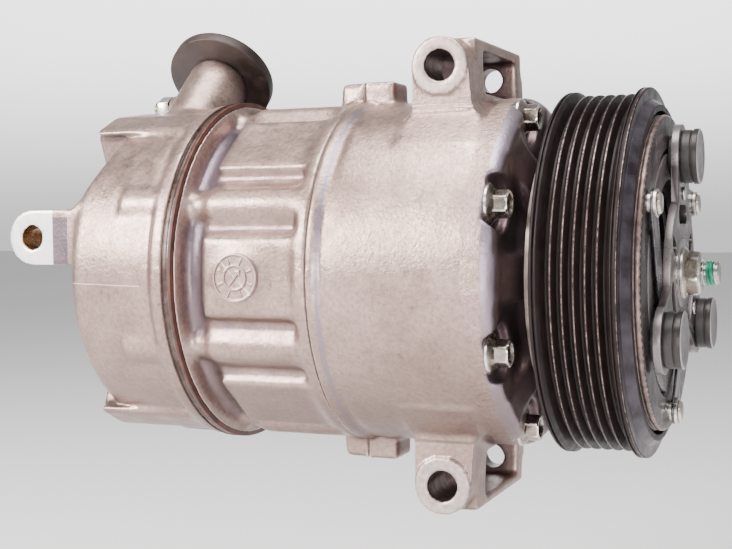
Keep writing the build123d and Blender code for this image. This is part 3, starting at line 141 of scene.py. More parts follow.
class ClutchSettings(bpy.types.PropertyGroup):
    """Pulley, armature and hub finishes."""

    coat: FloatVectorProperty(
        name="Pulley coat", description="Black electrocoat of the pulley", subtype="COLOR",
        default=(0.0075, 0.0045, 0.0045), min=0, max=1,
    )
    worn_rib: FloatVectorProperty(
        name="Worn rib", description="Bare metal on the rib tips", subtype="COLOR",
        default=(0.30, 0.22, 0.20), min=0, max=1,
    )
    plate_tone: FloatVectorProperty(
        name="Hub plate", description="Plated steel of the hub and armature", subtype="COLOR",
        default=(0.050, 0.040, 0.042), min=0, max=1,
    )
    segments: IntProperty(
        name="Turning steps", description="Steps round each turned piece", default=192, min=24
    )


class StageSettings(bpy.types.PropertyGroup):
    """Floor, lights and camera."""

    floor_drop: FloatProperty(
        name="Floor drop", description="How far the floor lies under the lower lug",
        default=0.10, unit="LENGTH",
    )
    floor_tone: FloatVectorProperty(
        name="Floor", description="Pale tone of the floor and surroundings", subtype="COLOR",
        default=(0.93, 0.93, 0.94), min=0, max=1,
    )
    surround: FloatProperty(
        name="Surround", description="Brightness of the room round the part", default=0.42, min=0,
    )
    backdrop: FloatProperty(
        name="Backdrop", description="Brightness of the white wall behind the part", default=3.1, min=0,
    )
    lens: FloatProperty(
        name="Lens", description="Focal length in millimetres on a 36 mm sensor", default=63.89,
    )


def settings():
    """Casting, clutch and stage settings, in that order."""
    scene = bpy.context.scene
    return scene.compressor_casting, scene.compressor_clutch, scene.compressor_stage


# ------------------------------------------------------------------ finishes
class Finish:
    """One node-built material and its shader."""

    def __init__(self, name, metallic, roughness, colour, specular=0.5):
        self.material = bpy.data.materials.new(name)
        self.material.use_nodes = True
        self.nodes = self.material.node_tree.nodes
        self.links = self.material.node_tree.links
        self.shader = self.nodes["Principled BSDF"]
        self.shader.inputs["Metallic"].default_value = metallic
        self.shader.inputs["Roughness"].default_value = roughness
        self.shader.inputs["Base Color"].default_value = (*colour, 1.0)
        self.shader.inputs["Specular IOR Level"].default_value = specular
        self.place = self.nodes.new("ShaderNodeTexCoord").outputs["Object"]
        self.bumps = None

    def grain(self, scale, detail=4.0, rough=0.55, stretch=None, distortion=0.0):
        """Noise in the object's own space; scale is in cycles per metre."""
        node = self.nodes.new("ShaderNodeTexNoise")
        node.inputs["Scale"].default_value = scale
        node.inputs["Detail"].default_value = detail
        node.inputs["Roughness"].default_value = rough
        node.inputs["Distortion"].default_value = distortion
        source = self.place
        if stretch:
            mapping = self.nodes.new("ShaderNodeMapping")
            mapping.inputs["Scale"].default_value = stretch
            self.links.new(self.place, mapping.inputs["Vector"])
            source = mapping.outputs["Vector"]
        self.links.new(source, node.inputs["Vector"])
        return node.outputs["Fac"]

    def ramp(self, source, stops):
        """Tones or grey levels at positions along a source that runs from 0 to 1."""
        node = self.nodes.new("ShaderNodeValToRGB")
        elements = node.color_ramp.elements
        while len(elements) < len(stops):
            elements.new(0.5)
        for element, (at, tone) in zip(elements, stops):
            element.position = at
            element.color = (*tone, 1.0) if hasattr(tone, "__len__") else (tone, tone, tone, 1.0)
        self.links.new(source, node.inputs["Fac"])
        return node.outputs["Color"]

    def blend(self, factor, first, second, mode="MIX"):
        """Mixes two tones, each a socket or a plain colour."""
        node = self.nodes.new("ShaderNodeMix")
        node.data_type = "RGBA"
        node.blend_type = mode
        sockets = [s for s in node.inputs if s.enabled]
        for socket, value in zip(sockets, (factor, first, second)):
            if isinstance(value, bpy.types.NodeSocket):
                self.links.new(value, socket)
            elif hasattr(value, "__len__"):
                socket.default_value = (*value, 1.0)
            else:
                socket.default_value = value
        return [s for s in node.outputs if s.enabled][0]

    def colour(self, source):
        """Feeds the shader's base colour."""
        self.links.new(source, self.shader.inputs["Base Color"])

    def sheen_map(self, source, low, high):
        """Roughness that wanders between two values."""
        node = self.nodes.new("ShaderNodeMapRange")
        node.inputs["To Min"].default_value = low
        node.inputs["To Max"].default_value = high
        node.inputs["From Min"].default_value = 0.3
        node.inputs["From Max"].default_value = 0.7
        self.links.new(source, node.inputs["Value"])
        self.links.new(node.outputs["Result"], self.shader.inputs["Roughness"])

    def bump(self, source, depth, strength=1.0):
        """Adds relief of a depth in metres, on top of earlier relief."""
        node = self.nodes.new("ShaderNodeBump")
        node.inputs["Strength"].default_value = strength
        node.inputs["Distance"].default_value = depth
        self.links.new(source, node.inputs["Height"])
        if self.bumps:
            self.links.new(self.bumps, node.inputs["Normal"])
        self.bumps = node.outputs["Normal"]
        self.links.new(self.bumps, self.shader.inputs["Normal"])

    def rings(self, pitch):
        """Turning marks about the shaft axis; pitch in metres."""
        node = self.nodes.new("ShaderNodeTexWave")
        node.wave_type = "RINGS"
        node.rings_direction = "X"
        node.inputs["Scale"].default_value = 0.1 / pitch
        node.inputs["Detail"].default_value = 1.0
        self.links.new(self.place, node.inputs["Vector"])
        return node.outputs["Fac"]

    def pointiness(self, low, high):
        """Mask of outer edges, white on the sharpest."""
        node = self.nodes.new("ShaderNodeNewGeometry")
        return self.ramp(node.outputs["Pointiness"], [(low, 0.0), (high, 1.0)])

    def within(self, inner, outer):
        """Mask of the skin nearer the shaft axis than two radii, with a ragged edge."""
        flat = self.nodes.new("ShaderNodeVectorMath")
        flat.operation = "MULTIPLY"
        flat.inputs[1].default_value = (0.0, 1.0, 1.0)
        self.links.new(self.place, flat.inputs[0])
        length = self.nodes.new("ShaderNodeVectorMath")
        length.operation = "LENGTH"
        self.links.new(flat.outputs["Vector"], length.inputs[0])
        ragged = self.nodes.new("ShaderNodeMath")
        ragged.operation = "MULTIPLY_ADD"
        ragged.inputs[1].default_value = 0.004
        self.links.new(self.grain(140.0, 4.0, 0.6), ragged.inputs[0])
        self.links.new(length.outputs["Value"], ragged.inputs[2])
        node = self.nodes.new("ShaderNodeMapRange")
        node.inputs["From Min"].default_value = outer + 0.002
        node.inputs["From Max"].default_value = inner + 0.002
        node.inputs["To Min"].default_value = 0.0
        node.inputs["To Max"].default_value = 0.9
        self.links.new(ragged.outputs["Value"], node.inputs["Value"])
        return node.outputs["Result"]

    def underside_shade_mask(self, most):
        """Mask that grows towards faces that look down, for the shade painted on them."""
        split = self.nodes.new("ShaderNodeSeparateXYZ")
        self.links.new(self.nodes.new("ShaderNodeNewGeometry").outputs["Normal"], split.inputs["Vector"])
        node = self.nodes.new("ShaderNodeMapRange")
        node.inputs["From Min"].default_value = 0.35
        node.inputs["From Max"].default_value = -0.9
        node.inputs["To Min"].default_value = 0.0
        node.inputs["To Max"].default_value = most
        self.links.new(split.outputs["Z"], node.inputs["Value"])
        return node.outputs["Result"]

    def recess_shade_mask(self, distance):
        """Mask of recesses for the shade painted into them: dark where the surface is shut in."""
        node = self.nodes.new("ShaderNodeAmbientOcclusion")
        node.samples = 8
        node.inputs["Distance"].default_value = distance
        return node.outputs["AO"]


def cast_finish(name="cast_aluminium", painted_light_tone=None, rough=1.0, neck=None):
    """Shot-blasted die-cast aluminium: warm grey, mottled, with rubbed edges, shade painted onto the faces
    that look down and violet-grey shade painted into the recesses.

    A tone of painted light that the caller gives (painted shade on the tab neck and the block, a painted
    reflection on the chamfers) covers the whole skin, or only the ring between the two radii of neck.
    """
    casting = settings()[0]
    f = Finish(name, 0.88, 0.40, casting.light_tone)
    broad = f.ramp(
        f.grain(34.0, 5.0, 0.6, distortion=0.4),
        [(0.36, tuple(casting.dark_tone)), (0.62, tuple(casting.light_tone))],
    )
    fine = f.ramp(f.grain(640.0, 6.0, 0.75), [(0.36, 0.52), (0.60, 1.0)])
    skin = f.blend(0.8, broad, fine, "MULTIPLY")
    streak = f.ramp(f.grain(90.0, 3.0, 0.5, stretch=(0.25, 1.0, 1.0)), [(0.42, 0.88), (0.58, 1.0)])
    skin = f.blend(0.6, skin, streak, "MULTIPLY")
    pits = f.ramp(f.grain(300.0, 2.0, 0.4), [(0.25, 0.40), (0.285, 1.0)])
    skin = f.blend(0.55, skin, pits, "MULTIPLY")
    # Painted light: the given tone goes over the ring between the radii of neck, or over the whole skin
    if neck:
        skin = f.blend(f.within(*neck), skin, painted_light_tone)
    elif painted_light_tone:
        skin = f.blend(0.85, skin, painted_light_tone)
    # Painted shade: the skin darkens on faces that look down
    skin = f.blend(f.underside_shade_mask(0.85), skin, (0.17, 0.118, 0.102))
    # Painted shade: violet-grey darkening in the recesses, where the surface is shut in
    hollow_shade = f.ramp(f.recess_shade_mask(0.018), [(0.22, 1.0), (0.80, 0.0)])
    skin = f.blend(hollow_shade, skin, tuple(casting.recess_painted_shade))
    skin = f.blend(f.pointiness(0.53, 0.62), skin, (0.80, 0.70, 0.66))
    f.colour(skin)
    f.sheen_map(f.grain(150.0, 4.0), 0.30 * rough, 0.46 * rough)
    f.bump(f.grain(950.0, 3.0, 0.6), 0.00018, 0.7)
    f.bump(f.grain(110.0, 3.0, 0.5), 0.0003, 0.35)
    if rough > 1.0:
        f.bump(f.grain(620.0, 3.0, 0.7), 0.0006, 0.8)
    return f.material


def milled_finish():
    """Cut aluminium faces: bright, with fine tool marks."""
    f = Finish("milled_aluminium", 0.8, 0.45, (0.47, 0.38, 0.35))
    f.colour(f.ramp(f.grain(700.0, 4.0, 0.6), [(0.35, (0.37, 0.29, 0.265)), (0.65, (0.52, 0.43, 0.40))]))
    f.sheen_map(f.grain(300.0, 3.0), 0.36, 0.52)
    f.bump(f.rings(0.0006), 0.00002, 0.5)
    f.bump(f.grain(1500.0, 2.0), 0.00003, 0.3)
    return f.material


def coat_finish():
    """Black electrocoat of the pulley, a little uneven in tone and gloss."""
    clutch = settings()[1]
    f = Finish("black_electrocoat", 0.0, 0.40, clutch.coat, 0.17)
    thin = tuple(c * 2.2 for c in clutch.coat)
    f.colour(f.ramp(f.grain(160.0, 5.0, 0.6), [(0.35, tuple(clutch.coat)), (0.70, thin)]))
    f.sheen_map(f.grain(260.0, 4.0), 0.34, 0.52)
    f.bump(f.grain(1300.0, 3.0), 0.00004, 0.45)
    return f.material


def rib_tip_finish():
    """Bare rubbed metal on the tips of the belt ribs, with coat left in patches."""
    clutch = settings()[1]
    f = Finish("worn_rib_tip", 0.8, 0.34, clutch.worn_rib)
    left_coat = tuple(c * 4 for c in clutch.coat)
    f.colour(f.ramp(f.grain(420.0, 5.0, 0.75), [(0.42, left_coat), (0.66, tuple(clutch.worn_rib))]))
    f.sheen_map(f.grain(500.0, 3.0), 0.25, 0.45)
    f.bump(f.grain(900.0, 3.0), 0.00004, 0.5)
    return f.material


def flange_front_finish():
    """Satin grey-violet band on the front of the pulley where the coat is thin and handled."""
    f = Finish("flange_front_satin", 0.35, 0.33, (0.045, 0.036, 0.045), 0.22)
    deep, satin = (0.020, 0.015, 0.018), (0.062, 0.052, 0.066)
    f.colour(f.ramp(f.grain(120.0, 5.0, 0.6), [(0.35, deep), (0.65, satin)]))
    f.sheen_map(f.grain(200.0, 4.0), 0.26, 0.42)
    f.bump(f.rings(0.0005), 0.000012, 0.5)
    f.bump(f.grain(1100.0, 3.0), 0.00003, 0.4)
    return f.material


def steel_finish(
    name, dark, light, low, high, marks=None, metallic=0.95, mottle=180.0, edge=None, gloss=0.5
):
    """Steel with mottled tone, wandering gloss and optional turning marks and rubbed edges."""
    f = Finish(name, metallic, (low + high) / 2, light, gloss)
    tone = f.ramp(f.grain(mottle, 5.0, 0.6), [(0.35, dark), (0.65, light)])
    if edge:
        tone = f.blend(f.pointiness(0.515, 0.56), tone, edge)
    f.colour(tone)
    f.sheen_map(f.grain(mottle * 1.7, 4.0), low, high)
    if marks:
        f.bump(f.rings(marks), 0.000015, 0.6)
    f.bump(f.grain(1400.0, 3.0), 0.00003, 0.4)
    return f.material


def moulded_finish(name, dark, light, low, high, grain=1200.0, depth=0.00006, mottle=90.0):
    """Rubber or plastic with a faint bloom and moulded grain."""
    f = Finish(name, 0.0, (low + high) / 2, light, 0.42)
    f.colour(f.ramp(f.grain(mottle, 6.0, 0.65), [(0.38, dark), (0.66, light)]))
    f.sheen_map(f.grain(mottle * 2.0, 4.0), low, high)
    f.bump(f.grain(grain, 3.0), depth, 0.5)
    return f.material


def casting_finishes():
    """Skins, cut faces and bores of the aluminium castings."""
    return {
        "cast_housing": cast_finish(),
        "head_skin": cast_finish("head_skin"),
        # Painted shade: the concave neck of the tab is painted violet-grey for its shadow
        "tab_neck_shade": cast_finish("tab_neck_shade", (0.085, 0.075, 0.115)),
        # Painted shade: the drum between the bolt ridges is painted dark violet for the shadow in those
        # recesses
        "block_skin": cast_finish("block_skin", (0.135, 0.115, 0.150), neck=(0.0550, 0.0572)),
        # Painted reflection: a violet-grey sheen painted on the chamfers of the front housing
        "painted_chamfer_sheen": cast_finish("chamfer_painted_sheen", (0.31, 0.265, 0.335)),
        "rough_band": cast_finish("rough_band", None, 1.25),
        "milled": milled_finish(),
        # Painted highlight: a near-white copy of milled aluminium for the glare on the tab's near face
        "milled_painted_glare": steel_finish(
            "milled_aluminium_painted_glare", (0.86, 0.84, 0.84), (0.94, 0.93, 0.93), 0.30, 0.42, metallic=0.6
        ),
        "bronze_bore": steel_finish(
            "bronzed_bore", (0.20, 0.115, 0.055), (0.42, 0.27, 0.15), 0.22, 0.36, mottle=300.0
        ),
        "dark_bore": steel_finish(
            "dark_bore", (0.10, 0.075, 0.07), (0.24, 0.19, 0.175), 0.30, 0.45, mottle=300.0
        ),
    }


def clutch_finishes():
    """Pulley, armature, hub plate, dampers and thread lock."""
    tone = tuple(settings()[1].plate_tone)
    dull, half, soft, bright = (tuple(c * k for c in tone) for k in (0.22, 0.5, 0.8, 1.7))
    return {
        "pulley_paint": coat_finish(),
        "rib_tip": rib_tip_finish(),
        "flange_front": flange_front_finish(),
        "armature_steel": steel_finish(
            "armature_steel", dull, half, 0.24, 0.42, 0.0006,
            metallic=0.1, mottle=110.0, edge=(0.22, 0.19, 0.20), gloss=0.2,
        ),
        "armature_edge": steel_finish(
            "armature_edge_rust", (0.10, 0.07, 0.06), (0.30, 0.22, 0.20), 0.32, 0.55,
            metallic=0.7, mottle=260.0,
        ),
        "hub_steel": steel_finish(
            "hub_plate_steel", soft, bright, 0.22, 0.40,
            metallic=0.5, mottle=95.0, edge=(0.40, 0.36, 0.37), gloss=0.3,
        ),
        "damper_rubber": moulded_finish(
            "damper_rubber", (0.010, 0.008, 0.009), (0.040, 0.032, 0.033), 0.38, 0.56
        ),
        "cap_steel": steel_finish(
            "damper_cap_steel", (0.10, 0.09, 0.095), (0.20, 0.18, 0.19), 0.26, 0.42,
            metallic=0.5, mottle=140.0, edge=(0.60, 0.57, 0.58), gloss=0.3,
        ),
        "cap_side": moulded_finish(
            "cap_side_coat", (0.010, 0.007, 0.007), (0.030, 0.022, 0.022), 0.3, 0.48
        ),
        "thread_lock": moulded_finish(
            "thread_locking_compound", (0.0, 0.10, 0.055), (0.01, 0.30, 0.17), 0.22, 0.4,
            grain=700.0, depth=0.0002, mottle=300.0,
        ),
    }


def fitting_finishes():
    """Gaskets, springs, bearings, bolts, valves, caps and running gear."""
    return {
        "gasket": moulded_finish(
            "red_brown_gasket", (0.030, 0.010, 0.007), (0.10, 0.030, 0.020), 0.4, 0.62,
            grain=900.0, depth=0.00005, mottle=260.0,
        ),
        "spring_steel": steel_finish(
            "blued_spring_steel", (0.055, 0.050, 0.056), (0.14, 0.13, 0.145), 0.22, 0.38
        ),
        "plate_steel": steel_finish(
            "ground_plate_steel", (0.17, 0.14, 0.125), (0.34, 0.29, 0.26), 0.3, 0.48, 0.0005
        ),
        "stack_plate": steel_finish(
            "stack_plate_edge", (0.05, 0.035, 0.028), (0.13, 0.095, 0.075), 0.3, 0.46
        ),
        "seal_rubber": moulded_finish(
            "seal_rubber", (0.012, 0.012, 0.012), (0.03, 0.03, 0.03), 0.4, 0.6
        ),
        "bearing_steel": steel_finish(
            "bearing_steel", (0.55, 0.55, 0.56), (0.72, 0.72, 0.73), 0.10, 0.22
        ),
        "zinc_steel": steel_finish(
            "zinc_plated_steel", (0.17, 0.14, 0.115), (0.42, 0.37, 0.32), 0.18, 0.34, edge=(0.80, 0.75, 0.70)
        ),
        "ground_steel": steel_finish(
            "ground_shaft_steel", (0.42, 0.40, 0.39), (0.62, 0.60, 0.59), 0.22, 0.36, 0.0004
        ),
        "machined_iron": steel_finish(
            "machined_iron", (0.22, 0.21, 0.21), (0.36, 0.35, 0.34), 0.3, 0.5, 0.0005
        ),
        "piston_aluminium": steel_finish(
            "piston_aluminium", (0.58, 0.57, 0.57), (0.74, 0.73, 0.73), 0.25, 0.4, 0.0005
        ),
        "valve_brass": steel_finish(
            "valve_brass", (0.46, 0.36, 0.19), (0.68, 0.56, 0.33), 0.22, 0.4, edge=(0.82, 0.72, 0.48)
        ),
        "cap_black": moulded_finish(
            "dust_cap_plastic", (0.010, 0.006, 0.005), (0.040, 0.026, 0.023), 0.36, 0.58,
            grain=1000.0, depth=0.00008, mottle=70.0,
        ),
        "winding_resin": moulded_finish(
            "potted_winding", (0.05, 0.03, 0.018), (0.12, 0.08, 0.05), 0.3, 0.5
        ),
        "terminal_plastic": moulded_finish(
            "terminal_plastic", (0.02, 0.02, 0.02), (0.05, 0.05, 0.05), 0.35, 0.55
        ),
    }


FINISHES = {}


def finish_for(key):
    """Finish of a record slot or a zone of a piece; all are made at the first call."""
    if not FINISHES:
        FINISHES.update(casting_finishes())
        FINISHES.update(clutch_finishes())
        FINISHES.update(fitting_finishes())
    return FINISHES[key]


# ------------------------------------------------------------------ mesh tools
def place(name, mesh, body, slot_name, finishes=None, stands_for=()):
    """Puts a finished mesh in the scene, on its body, with its finishes."""
    piece = bpy.data.objects.new(name, mesh)
    bpy.context.scene.collection.objects.link(piece)
    for key in finishes or (slot_name,):
        mesh.materials.append(finish_for(key))
    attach(piece, body)
    if stands_for:
        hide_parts(*stands_for)
    return piece


def shaded(mesh, angle):
    """Smooth shading that keeps edges sharper than the angle."""
    mesh.shade_smooth()
    mesh.set_sharp_from_angle(angle=radians(angle))
    return mesh


def mesh_from(name, bm, angle=32.0):
    """Turns a bmesh into a closed, outward-facing mesh."""
    bmesh.ops.recalc_face_normals(bm, faces=bm.faces)
    mesh = bpy.data.meshes.new(name)
    bm.to_mesh(mesh)
    bm.free()
    return shaded(mesh, angle)


def eased(profile, radius, steps=3):
    """Rounds every corner of a closed profile by up to a radius, and by less beside a short edge."""
    done = []
    count = len(profile)
    for i in range(count):
        before, here, after = (Vector(profile[(i + k) % count]) for k in (-1, 0, 1))
        into, out = (before - here), (after - here)
        reach = min(radius, into.length * 0.42, out.length * 0.42)
        if reach < 0.01 or into.length == 0 or out.length == 0:
            done.append(tuple(here))
            continue
        start, end = here + into.normalized() * reach, here + out.normalized() * reach
        for k in range(steps + 1):
            t = k / steps
            done.append(tuple((1 - t) ** 2 * start + 2 * t * (1 - t) * here + t**2 * end))
    return done


def ring_into(bm, x, segments, radius_at, centre=(0.0, 0.0)):
    """A ring of points about a line along the shaft; radius_at gives the radius at an angle."""
    ring = []
    for k in range(segments):
        a = 2 * pi * k / segments
        r = radius_at(a)
        ring.append(bm.verts.new((x * MM, (centre[0] + r * cos(a)) * MM, (centre[1] + r * sin(a)) * MM)))
    return ring


def band_into(bm, first, second, material=0):
    """Faces between two closed rows with the same number of points."""
    count = len(first)
    for k in range(count):
        face = bm.faces.new((first[k], first[(k + 1) % count], second[(k + 1) % count], second[k]))
        face.material_index = material


def capped_into(bm, rings):
    """A closed body through a run of rings, with a flat face on its first and last."""
    for first, second in zip(rings, rings[1:]):
        band_into(bm, first, second)
    bm.faces.new(rings[0])
    bm.faces.new(rings[-1])


def lathe_into(bm, profile, segments, centre=(0.0, 0.0), pick=None):
    """Turns a closed (x, radius) profile, in millimetres, about a line along the shaft direction."""
    rings = [ring_into(bm, x, segments, lambda a, r=r: r, centre) for x, r in profile]
    for i, ring in enumerate(rings):
        after = (i + 1) % len(rings)
        middle = [(profile[i][j] + profile[after][j]) / 2 for j in (0, 1)]
        band_into(bm, ring, rings[after], pick(*middle) if pick else 0)


def knob_into(bm, stations, segments, centre, radius_at):
    """A capped body built from stations along the shaft; the radius may vary round each one."""
    rings = []
    for index, x in enumerate(stations):
        rings.append(ring_into(bm, x, segments, lambda a, index=index: radius_at(index, a), centre))
    capped_into(bm, rings)


def hexagon(flats, angle, turn=0.0):
    """Radius of a hexagon with these flats, in the direction of an angle."""
    local = (angle - turn) % (pi / 3) - pi / 6
    return flats / 2 / cos(local)


def face_point(radius, angle):
    """(y, z) of a point on the clutch face; angles run from the mounting side towards the top."""
    return -radius * cos(radians(angle)), radius * sin(radians(angle))


def copied(node):
    """A clean welded copy of a CAD node's mesh, as a bmesh."""
    bm = bmesh.new()
    bm.from_mesh(NODES[node].data)
    bmesh.ops.remove_doubles(bm, verts=bm.verts, dist=2e-6)
    return bm


def softened(node, width, body, slot_name, name=None, segments=2, finishes=None, pick=None):
    """Stands for a CAD node with the same shape and its sharp edges eased."""
    bm = copied(node)
    bmesh.ops.dissolve_limit(
        bm, angle_limit=radians(0.6), use_dissolve_boundaries=False, verts=bm.verts, edges=bm.edges
    )
    mesh = bpy.data.meshes.new(name or node + "_shown")
    bm.to_mesh(mesh)
    bm.free()
    piece = place(name or node + "_shown", mesh, body, slot_name, finishes, (node,))
    bevel = piece.modifiers.new("ease", "BEVEL")
    bevel.width = width * MM
    bevel.segments = segments
    bevel.limit_method = "ANGLE"
    bevel.angle_limit = radians(38.0)
    bevel.use_clamp_overlap = True
    bevel.miter_outer = "MITER_ARC"
    bpy.context.view_layer.update()
    made = bpy.data.meshes.new_from_object(piece.evaluated_get(bpy.context.evaluated_depsgraph_get()))
    piece.modifiers.clear()
    old = piece.data
    piece.data = made
    bpy.data.meshes.remove(old)
    made.name = piece.name
    if pick:
        for polygon in made.polygons:
            polygon.material_index = pick(polygon)
    shaded(made, 36.0)
    return piece


def relaxed(mesh, weight, rounds, factor=0.5):
    """Evens a dense mesh out; weight is how freely each point may move."""
    count = len(mesh.vertices)
    co = np.empty(count * 3)
    mesh.vertices.foreach_get("co", co)
    co = co.reshape(-1, 3)
    ends = np.empty(len(mesh.edges) * 2, int)
    mesh.edges.foreach_get("vertices", ends)
    a, b = ends[0::2], ends[1::2]
    neighbours = np.bincount(a, minlength=count) + np.bincount(b, minlength=count)
    free = (weight * factor)[:, None]
    for _ in range(rounds):
        mean = np.empty_like(co)
        for axis in range(3):
            total = np.bincount(a, co[b, axis], count) + np.bincount(b, co[a, axis], count)
            mean[:, axis] = total / neighbours
        co += (mean - co) * free
    mesh.vertices.foreach_set("co", co.ravel())
    mesh.update()
    return co


def prism_into(bm, outline, first_x, last_x):
    """A solid bar along the shaft with a (y, z) outline in millimetres."""
    ends = [[bm.verts.new((x * MM, y * MM, z * MM)) for y, z in outline] for x in (first_x, last_x)]
    capped_into(bm, ends)


def casting(node, name, keep, zones, finishes, shape=None, rounds=None, bars=()):
    """A CAD casting with a dense skin: cast edges rounded, cut faces crisp, one finish for each zone.

    keep says which points barely move, zones gives each face its finish, and bars are joined in first.
    """
    options = settings()[0]
    bm = copied(node)
    for bar in bars:
        prism_into(bm, *bar)
    bmesh.ops.recalc_face_normals(bm, faces=bm.faces)
    mesh = bpy.data.meshes.new(name)
    bm.to_mesh(mesh)
    bm.free()
    piece = place(name, mesh, "housing", "cast_housing", finishes, (node,))
    skin = piece.modifiers.new("skin", "REMESH")
    skin.mode = "VOXEL"
    skin.voxel_size = options.voxel * 1.0
    bpy.context.view_layer.update()
    made = bpy.data.meshes.new_from_object(piece.evaluated_get(bpy.context.evaluated_depsgraph_get()))
    piece.modifiers.clear()
    piece.data = made
    bpy.data.meshes.remove(mesh)
    made.name = name
    made.materials.clear()
    for key in finishes:
        made.materials.append(finish_for(key))
    co = np.empty(len(made.vertices) * 3)
    made.vertices.foreach_get("co", co)
    co = co.reshape(-1, 3) / MM
    held = keep(co[:, 0], co[:, 1], co[:, 2])
    co = relaxed(made, np.where(held, 0.12, 1.0), rounds or options.rounds)
    if shape:
        co = shape(co / MM, held) * MM
        made.vertices.foreach_set("co", co.ravel())
    made.update()
    middle = np.empty(len(made.polygons) * 3)
    normal = np.empty(len(made.polygons) * 3)
    made.polygons.foreach_get("center", middle)
    made.polygons.foreach_get("normal", normal)
    middle, normal = middle.reshape(-1, 3) / MM, normal.reshape(-1, 3)
    made.polygons.foreach_set("material_index", zones(*middle.T, *normal.T).astype(np.int32))
    made.shade_smooth()
    return piece


def undulate(co, held, height, scale):
    """Gentle unevenness of a cast skin, in millimetres."""
    lift = np.array([noise.noise(Vector(p) * scale) for p in co])
    radial = co.copy()
    radial[:, 0] = 0
    length = np.linalg.norm(radial, axis=1)
    radial /= np.maximum(length, 1.0)[:, None]
    outside = (length > 52.0) & ~held
    return co + radial * (lift * height * outside)[:, None]


# ------------------------------------------------------------------ castings
def off_line(u, v, u0, v0):
    """Distance of points from a line seen end on."""
    return np.hypot(u - u0, v - v0)


def nearest_bolt(y, z):
    """Distance of points from the axis of the nearest through bolt."""
    best = np.full(y.shape, 1e9)
    for k in range(CYLINDERS):
        a = 2 * pi * k / CYLINDERS
        best = np.minimum(best, off_line(y, z, BOLT_CIRCLE * cos(a), BOLT_CIRCLE * sin(a)))
    return best


class COMPRESSOR_OT_front_housing(bpy.types.Operator):
    """Skin of the front housing, with its lugs, ribs and bolt pockets"""

    bl_idname = "compressor.front_housing"
    bl_label = "Front housing"

    def execute(self, context):
        finishes = ("cast_housing", "milled", "painted_chamfer_sheen", "rough_band", "dark_bore")
        cast, milled, painted_chamfer_sheen, rough_band, dark_bore = range(len(finishes))
        nose_end = HOUSING_HIGH[0]
        front = nose_end - 35.5
        seat = nose_end - 40.0

        def keep(x, y, z):
            radius = np.hypot(y, z)
            bores = np.zeros(x.shape, bool)
            for height in LUG_HEIGHTS:
                bores |= off_line(x, z, LUG_X, height) < 6.4
            faces = ((y < -29.9) | (y > 36.4)) & (np.abs(z) > 56)
            joint = x < JOINT_X + 1.0
            nose = (radius < 21.5) & (x > nose_end - 30.5)
            seats = (nearest_bolt(y, z) < 7.4) & (x < seat + 1.0) & (x > seat - 1.0)
            return bores | faces | joint | nose | seats

        def zones(x, y, z, nx, ny, nz):
            radius = np.hypot(y, z)
            zone = np.full(x.shape, cast)
            zone[(x > front - 10.5) & (x < front - 3.4) & (radius > 54) & (nx < 0.5)] = rough_band
            # Painted reflection: the front chamfer and the rim by the joint get the violet-grey sheen
            zone[(x > front - 5.2) & (nx > 0.18) & (nx < 0.93) & (radius > 51)] = painted_chamfer_sheen
            zone[(x < JOINT_X + 4.6) & (x > JOINT_X + 0.6) & (radius < 60.6) & (radius > 55)] = painted_chamfer_sheen
            cut = (radius < 21.0) & (x > nose_end - 30.0)
            cut |= (nearest_bolt(y, z) < 6.9) & (nx > 0.85) & (radius > 40)
            cut |= (x < JOINT_X + 0.4) & (nx < -0.8)
            for height in LUG_HEIGHTS:
                away = off_line(x, z, LUG_X, height)
                cut |= (away < LUG_RADIUS) & (y < -30.2) & (ny < -0.7)
                cut |= (away < 10.1) & (y > 36.6) & (ny > 0.8)
                zone[cut] = milled
                zone[(away < 5.7) & (np.abs(ny) < 0.8)] = dark_bore
            zone[cut] = milled
            return zone

        def shape(co, held):
            """Also sinks the cast skin beside each near boss a little behind its cut face."""
            co = undulate(co, held, 0.10, 0.09)
            for height in LUG_HEIGHTS:
                beside = (off_line(co[:, 0], co[:, 2], LUG_X, height) > LUG_RADIUS) & (np.abs(co[:, 2]) > 56)
                proud = beside & (co[:, 1] < -29.5)
                proud &= np.sign(co[:, 2]) == np.sign(height)
                co[proud, 1] = -29.5
            return co

        casting("front_housing", "front_housing_casting", keep, zones, finishes, shape)
        return {"FINISHED"}


class COMPRESSOR_OT_cylinder_block(bpy.types.Operator):
    """Skin of the cylinder block, with its bolt ridges and flat panels"""

    bl_idname = "compressor.cylinder_block"
    bl_label = "Cylinder block"

    def execute(self, context):
        low, high = corners_of("cylinder_block")

        def keep(x, y, z):
            return (x < low[0] + 0.8) | (x > high[0] - 0.8)

        def zones(x, y, z, nx, ny, nz):
            ends = (np.abs(nx) > 0.85) & ((x < low[0] + 0.4) | (x > high[0] - 0.4))
            return np.where(ends, 1, 0)

        casting(
            "cylinder_block", "cylinder_block_casting", keep, zones, ("block_skin", "milled"),
            shape=lambda co, held: undulate(co, held, 0.12, 0.10), rounds=settings()[0].block_rounds,
        )
        return {"FINISHED"}


